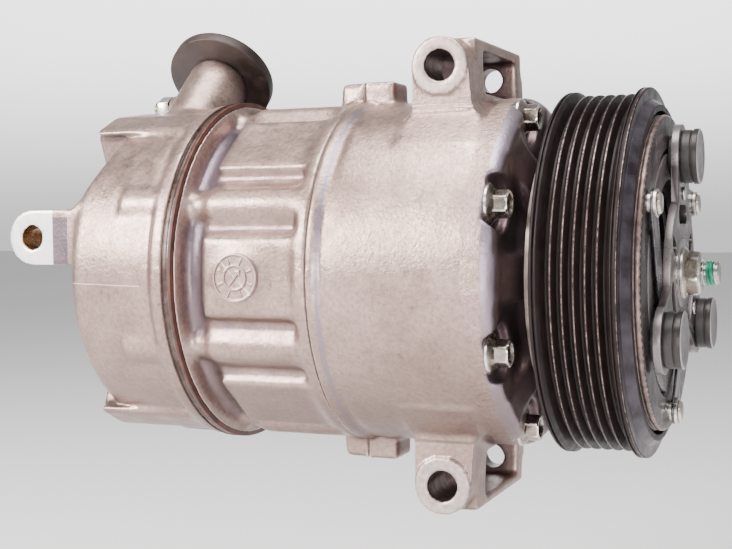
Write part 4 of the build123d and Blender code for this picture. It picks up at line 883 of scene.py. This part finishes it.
class COMPRESSOR_OT_rear_head(bpy.types.Operator):
    """Skin of the rear head, with its ribs, tab and port necks"""

    bl_idname = "compressor.rear_head"
    bl_label = "Rear head"

    def parting_line(self, drum):
        """Mould parting line along the near side of the drum."""
        near_side = [v.co for v in drum.data.vertices if v.co.y < -0.05 and abs(v.co.z) < 0.01]
        near_side = np.array(near_side) / MM
        bm = bmesh.new()
        rows = []
        for k in range(25):
            x = HEAD_LOW[0] + 30.8 + k * 1.2
            middle = radians(-2.7 - 0.02 * k)
            skin = near_side[np.abs(near_side[:, 0] - x) < 0.9]
            beside = skin[np.abs(np.arctan2(skin[:, 2], -skin[:, 1]) - middle) < 0.02]
            reach = float(np.hypot(beside[:, 1], beside[:, 2]).max())
            row = []
            for off, lift in ((-0.35, -0.6), (-0.14, 0.10), (0.14, 0.10), (0.35, -0.6)):
                angle = middle + off / reach
                r = reach + lift + 0.04 * noise.noise(Vector((x, off, 0.0)))
                row.append(bm.verts.new((x * MM, -r * cos(angle) * MM, r * sin(angle) * MM)))
            rows.append(row)
        capped_into(bm, rows)
        place("parting_line", mesh_from("parting_line", bm), "housing", "cast_housing", ("head_skin",))

    def execute(self, context):
        finishes = ("head_skin", "milled", "milled_painted_glare", "bronze_bore", "tab_neck_shade")
        skin, milled, bright, bronze, tab_neck_shade = range(len(finishes))

        def keep(x, y, z):
            tab = (off_line(x, z, TAB_X, TAB_Z) < 5.4) | ((y < -51.4) & (x < HEAD_LOW[0] + 24.0))
            return tab | (x > HEAD_HIGH[0] - 0.8)

        near, far = HEAD_LOW[0] + 25.3, HEAD_HIGH[0] - 5.6
        # (y, z) outlines of the two ribs that run along the drum
        upper = [(-33.5, 50.8), (-31.5, 52.9), (-20.5, 58.0), (-2.0, 60.5), (-2.0, 57.0), (-27.0, 49.6)]
        lower = [(-34.6, -50.0), (-32.4, -52.4), (-20.5, -58.0), (-2.0, -60.5), (-2.0, -57.0)]
        lower += [(-27.0, -48.8)]
        bars = ((upper, near, far), (lower, near, far))

        def zones(x, y, z, nx, ny, nz):
            zone = np.full(x.shape, skin)
            # Painted shade: the violet-grey finish goes on the concave neck of the tab
            neck = (x < HEAD_LOW[0] + 25.0) & (y < -49.0) & (np.abs(z - TAB_Z) < 14)
            zone[neck & (np.hypot(y, z) < 56.0)] = tab_neck_shade
            # Painted highlight: near-white glare on the near face of the tab
            zone[(x < HEAD_LOW[0] + 18.8) & (y < -51.0) & (ny < -0.5)] = bright
            zone[(x < HEAD_LOW[0] + 21.0) & (y > -37.4) & (y < -36.4) & (ny > 0.8)] = milled
            zone[(off_line(x, z, TAB_X, TAB_Z) < 4.8) & (y < -36) & (np.abs(ny) < 0.8)] = bronze
            zone[(x > HEAD_HIGH[0] - 0.4) & (nx > 0.85)] = milled
            return zone

        drum = casting(
            "rear_head", "rear_head_casting", keep, zones, finishes,
            shape=lambda co, held: undulate(co, held, 0.12, 0.08), bars=bars,
        )
        self.parting_line(drum)
        return {"FINISHED"}


class COMPRESSOR_OT_date_dial(bpy.types.Operator):
    """Raised mould dial on the round pad of the block: rings and ticks, with no lettering"""

    bl_idname = "compressor.date_dial"
    bl_label = "Mould dial"

    def execute(self, context):
        low, high = corners_of("cylinder_block")
        middle_x = (low[0] + high[0]) / 2 - 1.0
        face_y = -60.6
        rings, steps = 44, 168
        outer = 8.2
        turn = 0.9

        def relief(r, a):
            """Height of the two rings, the ticks and the pointer above the dial's face."""
            height = 0.55 if r > 7.4 else 0.0
            height += 0.5 * (abs(r - 4.0) < 0.35)
            tick = abs((degrees(a) % 45.0) - 22.5) < 2.2
            height += 0.5 * (tick and 4.6 < r < 6.9)
            along, beside = r * cos(a - turn), abs(r * sin(a - turn))
            pointer = beside < 0.45 and r < 3.0
            height += 0.5 * pointer
            head = r < 3.3 and along > 1.6 and beside < (3.3 - along) * 0.8
            return height + 0.5 * (head and not pointer)

        bm = bmesh.new()
        grid = []
        for i in range(rings + 1):
            r = outer * (i + 0.4) / (rings + 0.4)
            row = []
            for k in range(steps):
                a = 2 * pi * k / steps
                drop = 0.0 if i < rings else -1.9
                y = face_y - relief(r, a) - 0.02 - drop
                row.append(bm.verts.new(((middle_x + r * cos(a)) * MM, y * MM, r * sin(a) * MM)))
            grid.append(row)
        capped_into(bm, grid)
        mesh = mesh_from("mould_dial", bm, 60.0)
        relaxed(mesh, np.ones(len(mesh.vertices)), 1, 0.4)
        place("mould_dial", mesh, "housing", "cast_housing")
        return {"FINISHED"}


# ------------------------------------------------------------------ gasket stack and bolts
class COMPRESSOR_OT_gasket_stack(bpy.types.Operator):
    """Gaskets, reed plates and valve plate between the block and the head"""

    bl_idname = "compressor.gasket_stack"
    bl_label = "Gasket stack"

    def execute(self, context):
        for node in ("block_gasket", "head_gasket"):
            softened(node, 0.12, "housing", "gasket")
        for node in ("suction_reeds", "discharge_reeds"):
            softened(node, 0.06, "housing", "spring_steel")
        softened("valve_plate", 0.2, "housing", "plate_steel", finishes=("stack_plate",))
        return {"FINISHED"}


class COMPRESSOR_OT_through_bolts(bpy.types.Operator):
    """Seven flanged hexagon bolts that clamp the housings together"""

    bl_idname = "compressor.through_bolts"
    bl_label = "Through bolts"

    def execute(self, context):
        seat, top = BOLT_HIGH[0] - 7.0, BOLT_HIGH[0]
        flats, flange, shank = 8.0, 6.5, 2.95
        stations = [
            (BOLT_LOW[0] + 1.0, 0), (BOLT_LOW[0] + 2.0, shank), (seat - 0.6, shank),
            (seat - 0.01, shank + 0.3), (seat, flange - 0.25), (seat + 0.25, flange),
            (seat + 0.85, flange), (seat + 1.1, flange - 0.2), (seat + 1.7, 5.5), (seat + 2.5, 4.6),
        ]
        crown = [(seat + 2.8, 9.0), (top - 0.9, 9.0), (top - 0.45, 4.45), (top, 4.0), (top - 0.05, 3.2)]
        crown += [(top - 0.9, 2.7), (top - 1.0, 1.0)]
        bm = bmesh.new()
        for k in range(CYLINDERS):
            a = 2 * pi * k / CYLINDERS
            centre = (BOLT_CIRCLE * cos(a), BOLT_CIRCLE * sin(a))
            turn = 0.35 + 1.1 * k
            rows = [(x, max(r, 0.6), False) for x, r in stations]
            rows += [(x, r, True) for x, r in crown]

            def radius_at(index, angle, rows=rows, turn=turn):
                _, limit, is_hex = rows[index]
                return min(hexagon(flats, angle, turn), limit) if is_hex else limit

            knob_into(bm, [row[0] for row in rows], 72, centre, radius_at)
        mesh = mesh_from("through_bolts_shown", bm, 28.0)
        place("through_bolts_shown", mesh, "housing", "zinc_steel", stands_for=("through_bolts",))
        return {"FINISHED"}


# ------------------------------------------------------------------ clutch
class COMPRESSOR_OT_belt_pulley(bpy.types.Operator):
    """Ribbed belt pulley with its friction face"""

    bl_idname = "compressor.belt_pulley"
    bl_label = "Belt pulley"

    def execute(self, context):
        pitch, tip, root, slope = 3.56, 60.0, 57.1, tan(radians(20.0))
        half = HALF_RIM
        top = (pitch - 0.7) / 2
        bottom = top - (tip - root) * slope
        outer = [(-half, 53.1), (-half, 60.9), (-half + 0.5, 61.3), (-half + 1.05, 61.3)]
        outer += [(-half + 1.2, 60.3), (-half + 1.6, 60.3), (-half + 1.75, 61.3), (-half + 2.3, 61.3)]
        for k in range(6):
            middle = pitch * (k - 2.5)
            land = middle - pitch / 2
            if k:
                outer += [(land - 0.14, tip), (land + 0.14, tip)]
            outer += [(middle - top, tip), (middle - bottom, root)]
            outer += [(middle + bottom, root), (middle + top, tip)]
        outer += [(half - 2.3, 62.0), (half - 1.95, 62.0), (half - 1.8, 61.35), (half - 1.5, 61.35)]
        outer += [(half - 1.35, 62.0), (half - 0.55, 62.0), (half - 0.32, 62.0), (half, 61.6), (half, 58.1)]
        outer += [(half + 0.3, 58.0), (half + 3.0, 56.0), (half + 3.0, 54.0), (half, 54.0)]
        inner = [(half, 30.6), (half, 26.0), (HOUSING_HIGH[0] - 21.5, 26.0), (HOUSING_HIGH[0] - 21.5, 24.6)]
        inner += [(HOUSING_HIGH[0] - 22.5, 24.6), (HOUSING_HIGH[0] - 22.5, 30.6), (half - 5.4, 30.6)]
        inner += [(half - 5.4, 49.6), (-half, 49.6)]

        finishes = ("pulley_paint", "rib_tip", "flange_front", "armature_steel")
        paint, worn, satin, steel = range(len(finishes))

        def pick(x, r):
            off_land = abs((x / pitch + 0.5) % 1.0 - 0.5) * pitch
            if r > tip - 0.02 and abs(x) < 2.4 * pitch and off_land < 0.15:
                return worn
            if r > 61.9 and half - 0.56 < x < half - 0.31:
                return worn
            if half - 0.05 < x < half + 2.75 and r > 55.0:
                return satin
            return steel if r <= 53.5 and x > half - 0.4 else paint

        profile = eased(outer, 0.16, 2) + eased(inner, 0.25, 2)
        bm = bmesh.new()
        lathe_into(bm, profile, 256, pick=pick)
        mesh = mesh_from("belt_pulley", bm, 30.0)
        place("belt_pulley", mesh, "pulley", "pulley_paint", finishes, ("clutch_pulley",))
        return {"FINISHED"}


class COMPRESSOR_OT_armature(bpy.types.Operator):
    """Armature plate and its three rivets"""

    bl_idname = "compressor.armature"
    bl_label = "Armature plate"

    def execute(self, context):
        front = ARMATURE_HIGH[0]

        def pick(polygon):
            x, y, z = (c / MM for c in polygon.center)
            return 1 if hypot(y, z) > 51.4 and x < front - 0.45 and abs(polygon.normal.x) < 0.8 else 0

        softened(
            "armature_plate", 0.3, "armature", "armature_steel", "armature_plate_shown",
            finishes=("armature_steel", "armature_edge"), pick=pick,
        )
        bm = bmesh.new()
        seat = RIVET_LOW[0]
        plate = PLATE_LOW[0]
        top = RIVET_HIGH[0]
        rows = [
            (seat + 0.05, 3.4), (plate - 0.85, 3.4), (plate - 0.82, 2.4), (plate - 0.02, 2.4), (plate, 4.2),
            (plate + 0.15, 4.45), (plate + 0.95, 4.5), (plate + 1.15, 4.25), (plate + 1.2, 3.5),
            (plate + 1.35, 3.55), (top - 0.5, 3.35), (top - 0.15, 2.9), (top, 2.0), (top, 0.5),
        ]
        for angle in RIVET_ANGLES:
            knob_into(bm, [r[0] for r in rows], 40, face_point(RIVET_CIRCLE, angle), lambda i, a: rows[i][1])
        mesh = mesh_from("armature_rivets_shown", bm, 34.0)
        place("armature_rivets_shown", mesh, "armature", "zinc_steel", stands_for=("armature_rivets",))
        return {"FINISHED"}


class COMPRESSOR_OT_hub(bpy.types.Operator):
    """Hub plate, splined hub, leaf springs and hub rivets"""

    bl_idname = "compressor.hub"
    bl_label = "Hub plate and springs"

    def execute(self, context):
        softened("hub_plate", 0.35, "shaft", "hub_steel", segments=3)
        softened("clutch_hub", 0.3, "shaft", "hub_steel")
        softened("leaf_springs", 0.12, "shaft", "spring_steel")
        softened("hub_rivets", 0.3, "shaft", "zinc_steel")
        return {"FINISHED"}


class COMPRESSOR_OT_dampers(bpy.types.Operator):
    """Rubber dampers and their steel caps"""

    bl_idname = "compressor.dampers"
    bl_label = "Dampers"

    def execute(self, context):
        rear = corners_of("dampers")[0][0]
        plate_rear, plate_front = PLATE_LOW[0], PLATE_HIGH[0]
        top = CAP_HIGH[0]
        cap_x = top - 2.2
        rubber = [
            (rear, 3.1), (rear, 7.1), (plate_rear, 7.1), (plate_rear, 6.2), (plate_front, 6.2),
            (plate_front, 8.6), (plate_front + 0.7, 8.9), (cap_x - 0.7, 8.85), (cap_x - 0.35, 8.45),
            (cap_x, 8.45), (cap_x, 3.1),
        ]
        cap = [
            (rear + 0.2, 3.0), (cap_x - 0.02, 3.0), (cap_x, 8.9), (cap_x + 0.15, 9.15), (top - 0.75, 9.2),
            (top - 0.35, 9.05), (top - 0.1, 8.7), (top, 8.2), (top - 0.04, 7.2), (top - 0.12, 6.8),
            (top - 0.14, 0.6),
        ]
        rubbers, caps = bmesh.new(), bmesh.new()
        for angle in LOBE_ANGLES:
            centre = face_point(DAMPER_CIRCLE, angle)
            lathe_into(rubbers, eased(rubber, 0.25), 72, centre)
            knob_into(caps, [x for x, _ in cap], 72, centre, lambda i, a: cap[i][1])
        mesh = mesh_from("damper_rubbers", rubbers, 34.0)
        place("damper_rubbers", mesh, "shaft", "damper_rubber", stands_for=("dampers",))
        mesh = mesh_from("damper_caps_shown", caps, 34.0)
        place("damper_caps_shown", mesh, "shaft", "cap_steel", ("cap_steel", "cap_side"), ("damper_caps",))
        for polygon in mesh.polygons:
            polygon.material_index = 0 if polygon.center.x > (top - 0.5) * MM else 1
        return {"FINISHED"}


THREAD_PITCH = 1.25
THREAD_RADIUS = 4.0
THREAD_DEPTH = 0.62


def thread_groove(x, angle):
    """Depth of the shaft's thread at a place and an angle, as a share of the full depth."""
    phase = (x / THREAD_PITCH - angle / (2 * pi)) % 1.0
    return min(1.0, max(0.0, abs(phase - 0.5) * 2.6 - 0.25))


class COMPRESSOR_OT_shaft_end(bpy.types.Operator):
    """Flanged nut, threaded shaft end and the green locking compound on its thread"""

    bl_idname = "compressor.shaft_end"
    bl_label = "Shaft end and nut"

    def nut(self):
        """Hexagon nut with a flange, chamfered on its front."""
        seat, top = NUT_LOW[0], NUT_HIGH[0]
        flange = [(seat, 8.3), (seat + 0.25, 8.6), (seat + 0.8, 8.6), (seat + 1.1, 8.3), (seat + 1.9, 7.3)]
        crown = [(seat + 2.1, 7.6), (top - 1.5, 7.6), (top - 0.9, 7.2), (top - 0.2, 6.35), (top, 5.9)]
        bore = [(top, 4.7), (top - 0.6, 4.15), (seat + 0.1, 4.12)]
        bm = bmesh.new()
        segments = 96
        rings = [ring_into(bm, x, segments, lambda a, r=r: r) for x, r in flange]
        for x, r in crown:
            rings.append(ring_into(bm, x, segments, lambda a, r=r: min(hexagon(13.0, a, 0.26), r)))
        rings += [ring_into(bm, x, segments, lambda a, r=r: r) for x, r in bore]
        for i, ring in enumerate(rings):
            band_into(bm, ring, rings[(i + 1) % len(rings)])
        mesh = mesh_from("hub_nut_shown", bm, 26.0)
        place("hub_nut_shown", mesh, "shaft", "zinc_steel", stands_for=("hub_nut",))

    def shaft(self):
        """Stepped shaft with a cut thread at its end."""
        tip = SHAFT_HIGH[0]
        start, end = PLATE_LOW[0] - 0.4, tip - 0.5
        turns = int((end - start) / THREAD_PITCH * 12)
        rows = [
            (SHAFT_LOW[0], 8.0, False), (SHAFT_LOW[0] + 1.0, 9.0, False),
            (HOUSING_HIGH[0] - 10.15, 9.0, False), (HOUSING_HIGH[0] - 10.1, 7.0, False),
            (start - 0.05, 7.0, False), (start, 4.0, False),
        ]
        rows += [(start + (end - start) * k / turns, THREAD_RADIUS, True) for k in range(1, turns + 1)]
        rows += [(tip - 0.4, 3.6, False), (tip - 0.1, 3.3, False), (tip, 2.9, False)]
        rows += [(tip - 0.25, 1.6, False), (tip - 0.3, 0.4, False)]

        def radius_at(index, angle):
            x, r, threaded = rows[index]
            return r - THREAD_DEPTH * thread_groove(x, angle) * 0.95 if threaded else r

        bm = bmesh.new()
        knob_into(bm, [row[0] for row in rows], 60, (0.0, 0.0), radius_at)
        mesh = mesh_from("drive_shaft_shown", bm, 40.0)
        place("drive_shaft_shown", mesh, "shaft", "ground_steel", stands_for=("drive_shaft",))

    def compound(self):
        """A ragged film that fills the thread just in front of the nut."""
        first, last = NUT_HIGH[0] + 1.3, NUT_HIGH[0] + 3.7
        count, segments = 26, 72
        bm = bmesh.new()
        rings = []
        for i in range(count + 1):
            edge = i in (0, count)
            ring = []
            for k in range(segments):
                a = 2 * pi * k / segments
                wander = noise.noise(Vector((cos(a) * 1.7, sin(a) * 1.7, 3.0)))
                x = first + (last - first) * i / count + wander * (0.5 if edge else 0.35)
                film = 0.10 + 0.10 * noise.noise(Vector((x * 1.3, cos(a) * 2.5, sin(a) * 2.5)))
                r = THREAD_RADIUS - THREAD_DEPTH * thread_groove(x, a) * 0.6 + film
                if edge:
                    r = THREAD_RADIUS - THREAD_DEPTH - 0.2
                ring.append(bm.verts.new((x * MM, r * cos(a) * MM, r * sin(a) * MM)))
            rings.append(ring)
        capped_into(bm, rings)
        mesh = mesh_from("thread_lock_film", bm, 50.0)
        place("thread_lock_film", mesh, "shaft", "zinc_steel", ("thread_lock",))

    def execute(self, context):
        self.nut()
        self.shaft()
        self.compound()
        return {"FINISHED"}


class COMPRESSOR_OT_bearing_and_coil(bpy.types.Operator):
    """Pulley bearing, its rings, and the field coil behind the pulley"""

    bl_idname = "compressor.bearing_and_coil"
    bl_label = "Bearing and coil"

    def execute(self, context):
        for node, width, body, slot_name in (
            ("bearing_inner_ring", 0.3, "housing", "bearing_steel"),
            ("bearing_outer_ring", 0.3, "pulley", "bearing_steel"),
            ("bearing_seals", 0.15, "pulley", "seal_rubber"),
            ("bearing_snap_ring", 0.2, "housing", "spring_steel"),
            ("coil_snap_ring", 0.2, "housing", "spring_steel"),
            ("coil_shell", 0.35, "housing", "plate_steel"),
            ("coil_winding", 0.4, "housing", "winding_resin"),
            ("coil_terminal", 0.5, "housing", "terminal_plastic"),
        ):
            softened(node, width, body, slot_name)
        return {"FINISHED"}


# ------------------------------------------------------------------ ports and valves
class COMPRESSOR_OT_port_caps(bpy.types.Operator):
    """Dust caps of the two ports"""

    bl_idname = "compressor.port_caps"
    bl_label = "Port caps"

    def execute(self, context):
        for node in ("suction_port_cap", "discharge_port_cap"):
            softened(node, 0.45, "housing", "cap_black", segments=3)
        return {"FINISHED"}


class COMPRESSOR_OT_valves(bpy.types.Operator):
    """Relief valve and control valve of the rear head"""

    bl_idname = "compressor.valves"
    bl_label = "Valves"

    def execute(self, context):
        softened("relief_valve", 0.35, "housing", "zinc_steel")
        softened("control_valve", 0.35, "housing", "valve_brass")
        softened("control_valve_ring", 0.2, "housing", "spring_steel")
        return {"FINISHED"}


class COMPRESSOR_OT_sealed_gear(bpy.types.Operator):
    """Finishes of the CAD nodes that stay as they are, inside the housings"""

    bl_idname = "compressor.sealed_gear"
    bl_label = "Sealed running gear"

    def execute(self, context):
        slots = {row["node"]: row["material_slot"] for row in frame["record"]["subparts"]}
        for name, piece in NODES.items():
            if piece.hide_render:
                continue
            piece.data.materials.clear()
            piece.data.materials.append(finish_for(slots[name]))
        return {"FINISHED"}


# ------------------------------------------------------------------ stage
class COMPRESSOR_OT_stage(bpy.types.Operator):
    """Pale floor, soft studio lights and the camera"""

    bl_idname = "compressor.stage"
    bl_label = "Stage"

    def execute(self, context):
        options = settings()[2]
        scene = context.scene
        floor_z = CAD_LOW.z - options.floor_drop
        mesh = bpy.data.meshes.new("floor")
        size = 6.0
        mesh.from_pydata(
            [(-size, -size, floor_z), (size, -size, floor_z), (size, size, floor_z), (-size, size, floor_z)],
            [], [(0, 1, 2, 3)],
        )
        floor = bpy.data.objects.new("floor", mesh)
        scene.collection.objects.link(floor)
        f = Finish("pale_floor", 0.0, 0.7, options.floor_tone, 0.2)
        shade = tuple(c * 0.985 for c in options.floor_tone)
        f.colour(f.ramp(f.grain(2.0, 2.0), [(0.3, shade), (0.7, tuple(options.floor_tone))]))
        mesh.materials.append(f.material)

        world = scene.world or bpy.data.worlds.new("studio")
        scene.world = world
        world.use_nodes = True
        tree = world.node_tree
        background = tree.nodes["Background"]
        background.inputs["Color"].default_value = (1.0, 1.0, 1.0, 1.0)
        facing = tree.nodes.new("ShaderNodeVectorMath")
        facing.operation = "DOT_PRODUCT"
        facing.inputs[1].default_value = (-0.38, 0.92, 0.0)
        tree.links.new(tree.nodes.new("ShaderNodeTexCoord").outputs["Generated"], facing.inputs[0])
        glow = tree.nodes.new("ShaderNodeMapRange")
        glow.interpolation_type = "SMOOTHSTEP"
        glow.inputs["From Min"].default_value = 0.82
        glow.inputs["From Max"].default_value = 0.97
        glow.inputs["To Min"].default_value = options.surround
        glow.inputs["To Max"].default_value = options.backdrop
        tree.links.new(facing.outputs["Value"], glow.inputs["Value"])
        height = tree.nodes.new("ShaderNodeSeparateXYZ")
        tree.links.new(tree.nodes["Texture Coordinate"].outputs["Generated"], height.inputs[0])
        climb = tree.nodes.new("ShaderNodeMapRange")
        climb.interpolation_type = "SMOOTHSTEP"
        climb.inputs["From Min"].default_value = -0.02
        climb.inputs["From Max"].default_value = 0.16
        climb.inputs["To Min"].default_value = options.surround * 2.0
        tree.links.new(height.outputs["Z"], climb.inputs["Value"])
        tree.links.new(glow.outputs["Result"], climb.inputs["To Max"])
        tree.links.new(climb.outputs["Result"], background.inputs["Strength"])

        middle = Vector((-0.06, 0.0, 0.0))
        for name, spot, size_m, power, tone in (
            ("key_left", (-0.75, -0.85, 0.45), 0.6, 29.0, (1.0, 0.95, 0.92)),
            ("top_soft", (-0.05, -0.25, 1.0), 0.8, 20.0, (1.0, 0.96, 0.94)),
            ("front_fill", (0.30, -1.1, 0.05), 0.5, 8.0, (1.0, 0.95, 0.93)),
            ("clutch_side", (0.9, -0.7, 0.35), 0.3, 1.5, (0.92, 0.93, 1.0)),
        ):
            lamp = bpy.data.lights.new(name, "AREA")
            lamp.shape = "RECTANGLE"
            lamp.size = size_m
            lamp.size_y = size_m * 0.8
            lamp.energy = power
            lamp.color = tone
            holder = bpy.data.objects.new(name, lamp)
            scene.collection.objects.link(holder)
            holder.location = spot
            holder.rotation_euler = (middle - Vector(spot)).to_track_quat("-Z", "Y").to_euler()

        camera = bpy.data.cameras.new("camera")
        camera.lens = options.lens
        camera.sensor_width = 36.0
        camera.clip_start, camera.clip_end = 0.01, 50.0
        holder = bpy.data.objects.new("camera", camera)
        scene.collection.objects.link(holder)
        yaw, pitch, roll = radians(22.393), radians(2.665), radians(-0.559)
        ahead = Vector((-sin(yaw) * cos(pitch), cos(yaw) * cos(pitch), -sin(pitch)))
        right = Vector((cos(yaw), sin(yaw), 0.0))
        up = right.cross(ahead)
        across = right * cos(roll) + up * sin(roll)
        above = up * cos(roll) - right * sin(roll)
        turn = Matrix((across, above, -ahead)).transposed()
        holder.matrix_world = Matrix.Translation((0.09035, -0.4408, 0.02068)) @ turn.to_4x4()
        scene.camera = holder
        return {"FINISHED"}


STEPS = (
    COMPRESSOR_OT_stage,
    COMPRESSOR_OT_front_housing,
    COMPRESSOR_OT_cylinder_block,
    COMPRESSOR_OT_rear_head,
    COMPRESSOR_OT_date_dial,
    COMPRESSOR_OT_gasket_stack,
    COMPRESSOR_OT_through_bolts,
    COMPRESSOR_OT_belt_pulley,
    COMPRESSOR_OT_armature,
    COMPRESSOR_OT_hub,
    COMPRESSOR_OT_dampers,
    COMPRESSOR_OT_shaft_end,
    COMPRESSOR_OT_bearing_and_coil,
    COMPRESSOR_OT_port_caps,
    COMPRESSOR_OT_valves,
    COMPRESSOR_OT_sealed_gear,
)


class COMPRESSOR_PT_panel(bpy.types.Panel):
    """Lists the pieces of the compressor and their settings"""

    bl_label = "Compressor"
    bl_idname = "COMPRESSOR_PT_panel"
    bl_space_type = "VIEW_3D"
    bl_region_type = "UI"
    bl_category = "Compressor"

    def draw(self, context):
        for step in STEPS:
            self.layout.operator(step.bl_idname)
        for group in settings():
            box = self.layout.box()
            for key in group.__annotations__:
                box.prop(group, key)


CLASSES = (CastingSettings, ClutchSettings, StageSettings, *STEPS, COMPRESSOR_PT_panel)


def register():
    for cls in CLASSES:
        bpy.utils.register_class(cls)
    bpy.types.Scene.compressor_casting = PointerProperty(type=CastingSettings)
    bpy.types.Scene.compressor_clutch = PointerProperty(type=ClutchSettings)
    bpy.types.Scene.compressor_stage = PointerProperty(type=StageSettings)


def unregister():
    del bpy.types.Scene.compressor_stage
    del bpy.types.Scene.compressor_clutch
    del bpy.types.Scene.compressor_casting
    for cls in reversed(CLASSES):
        bpy.utils.unregister_class(cls)


def main():
    register()
    for step in STEPS:
        family, action = step.bl_idname.split(".")
        getattr(getattr(bpy.ops, family), action)()


if __name__ == "__main__":
    main()
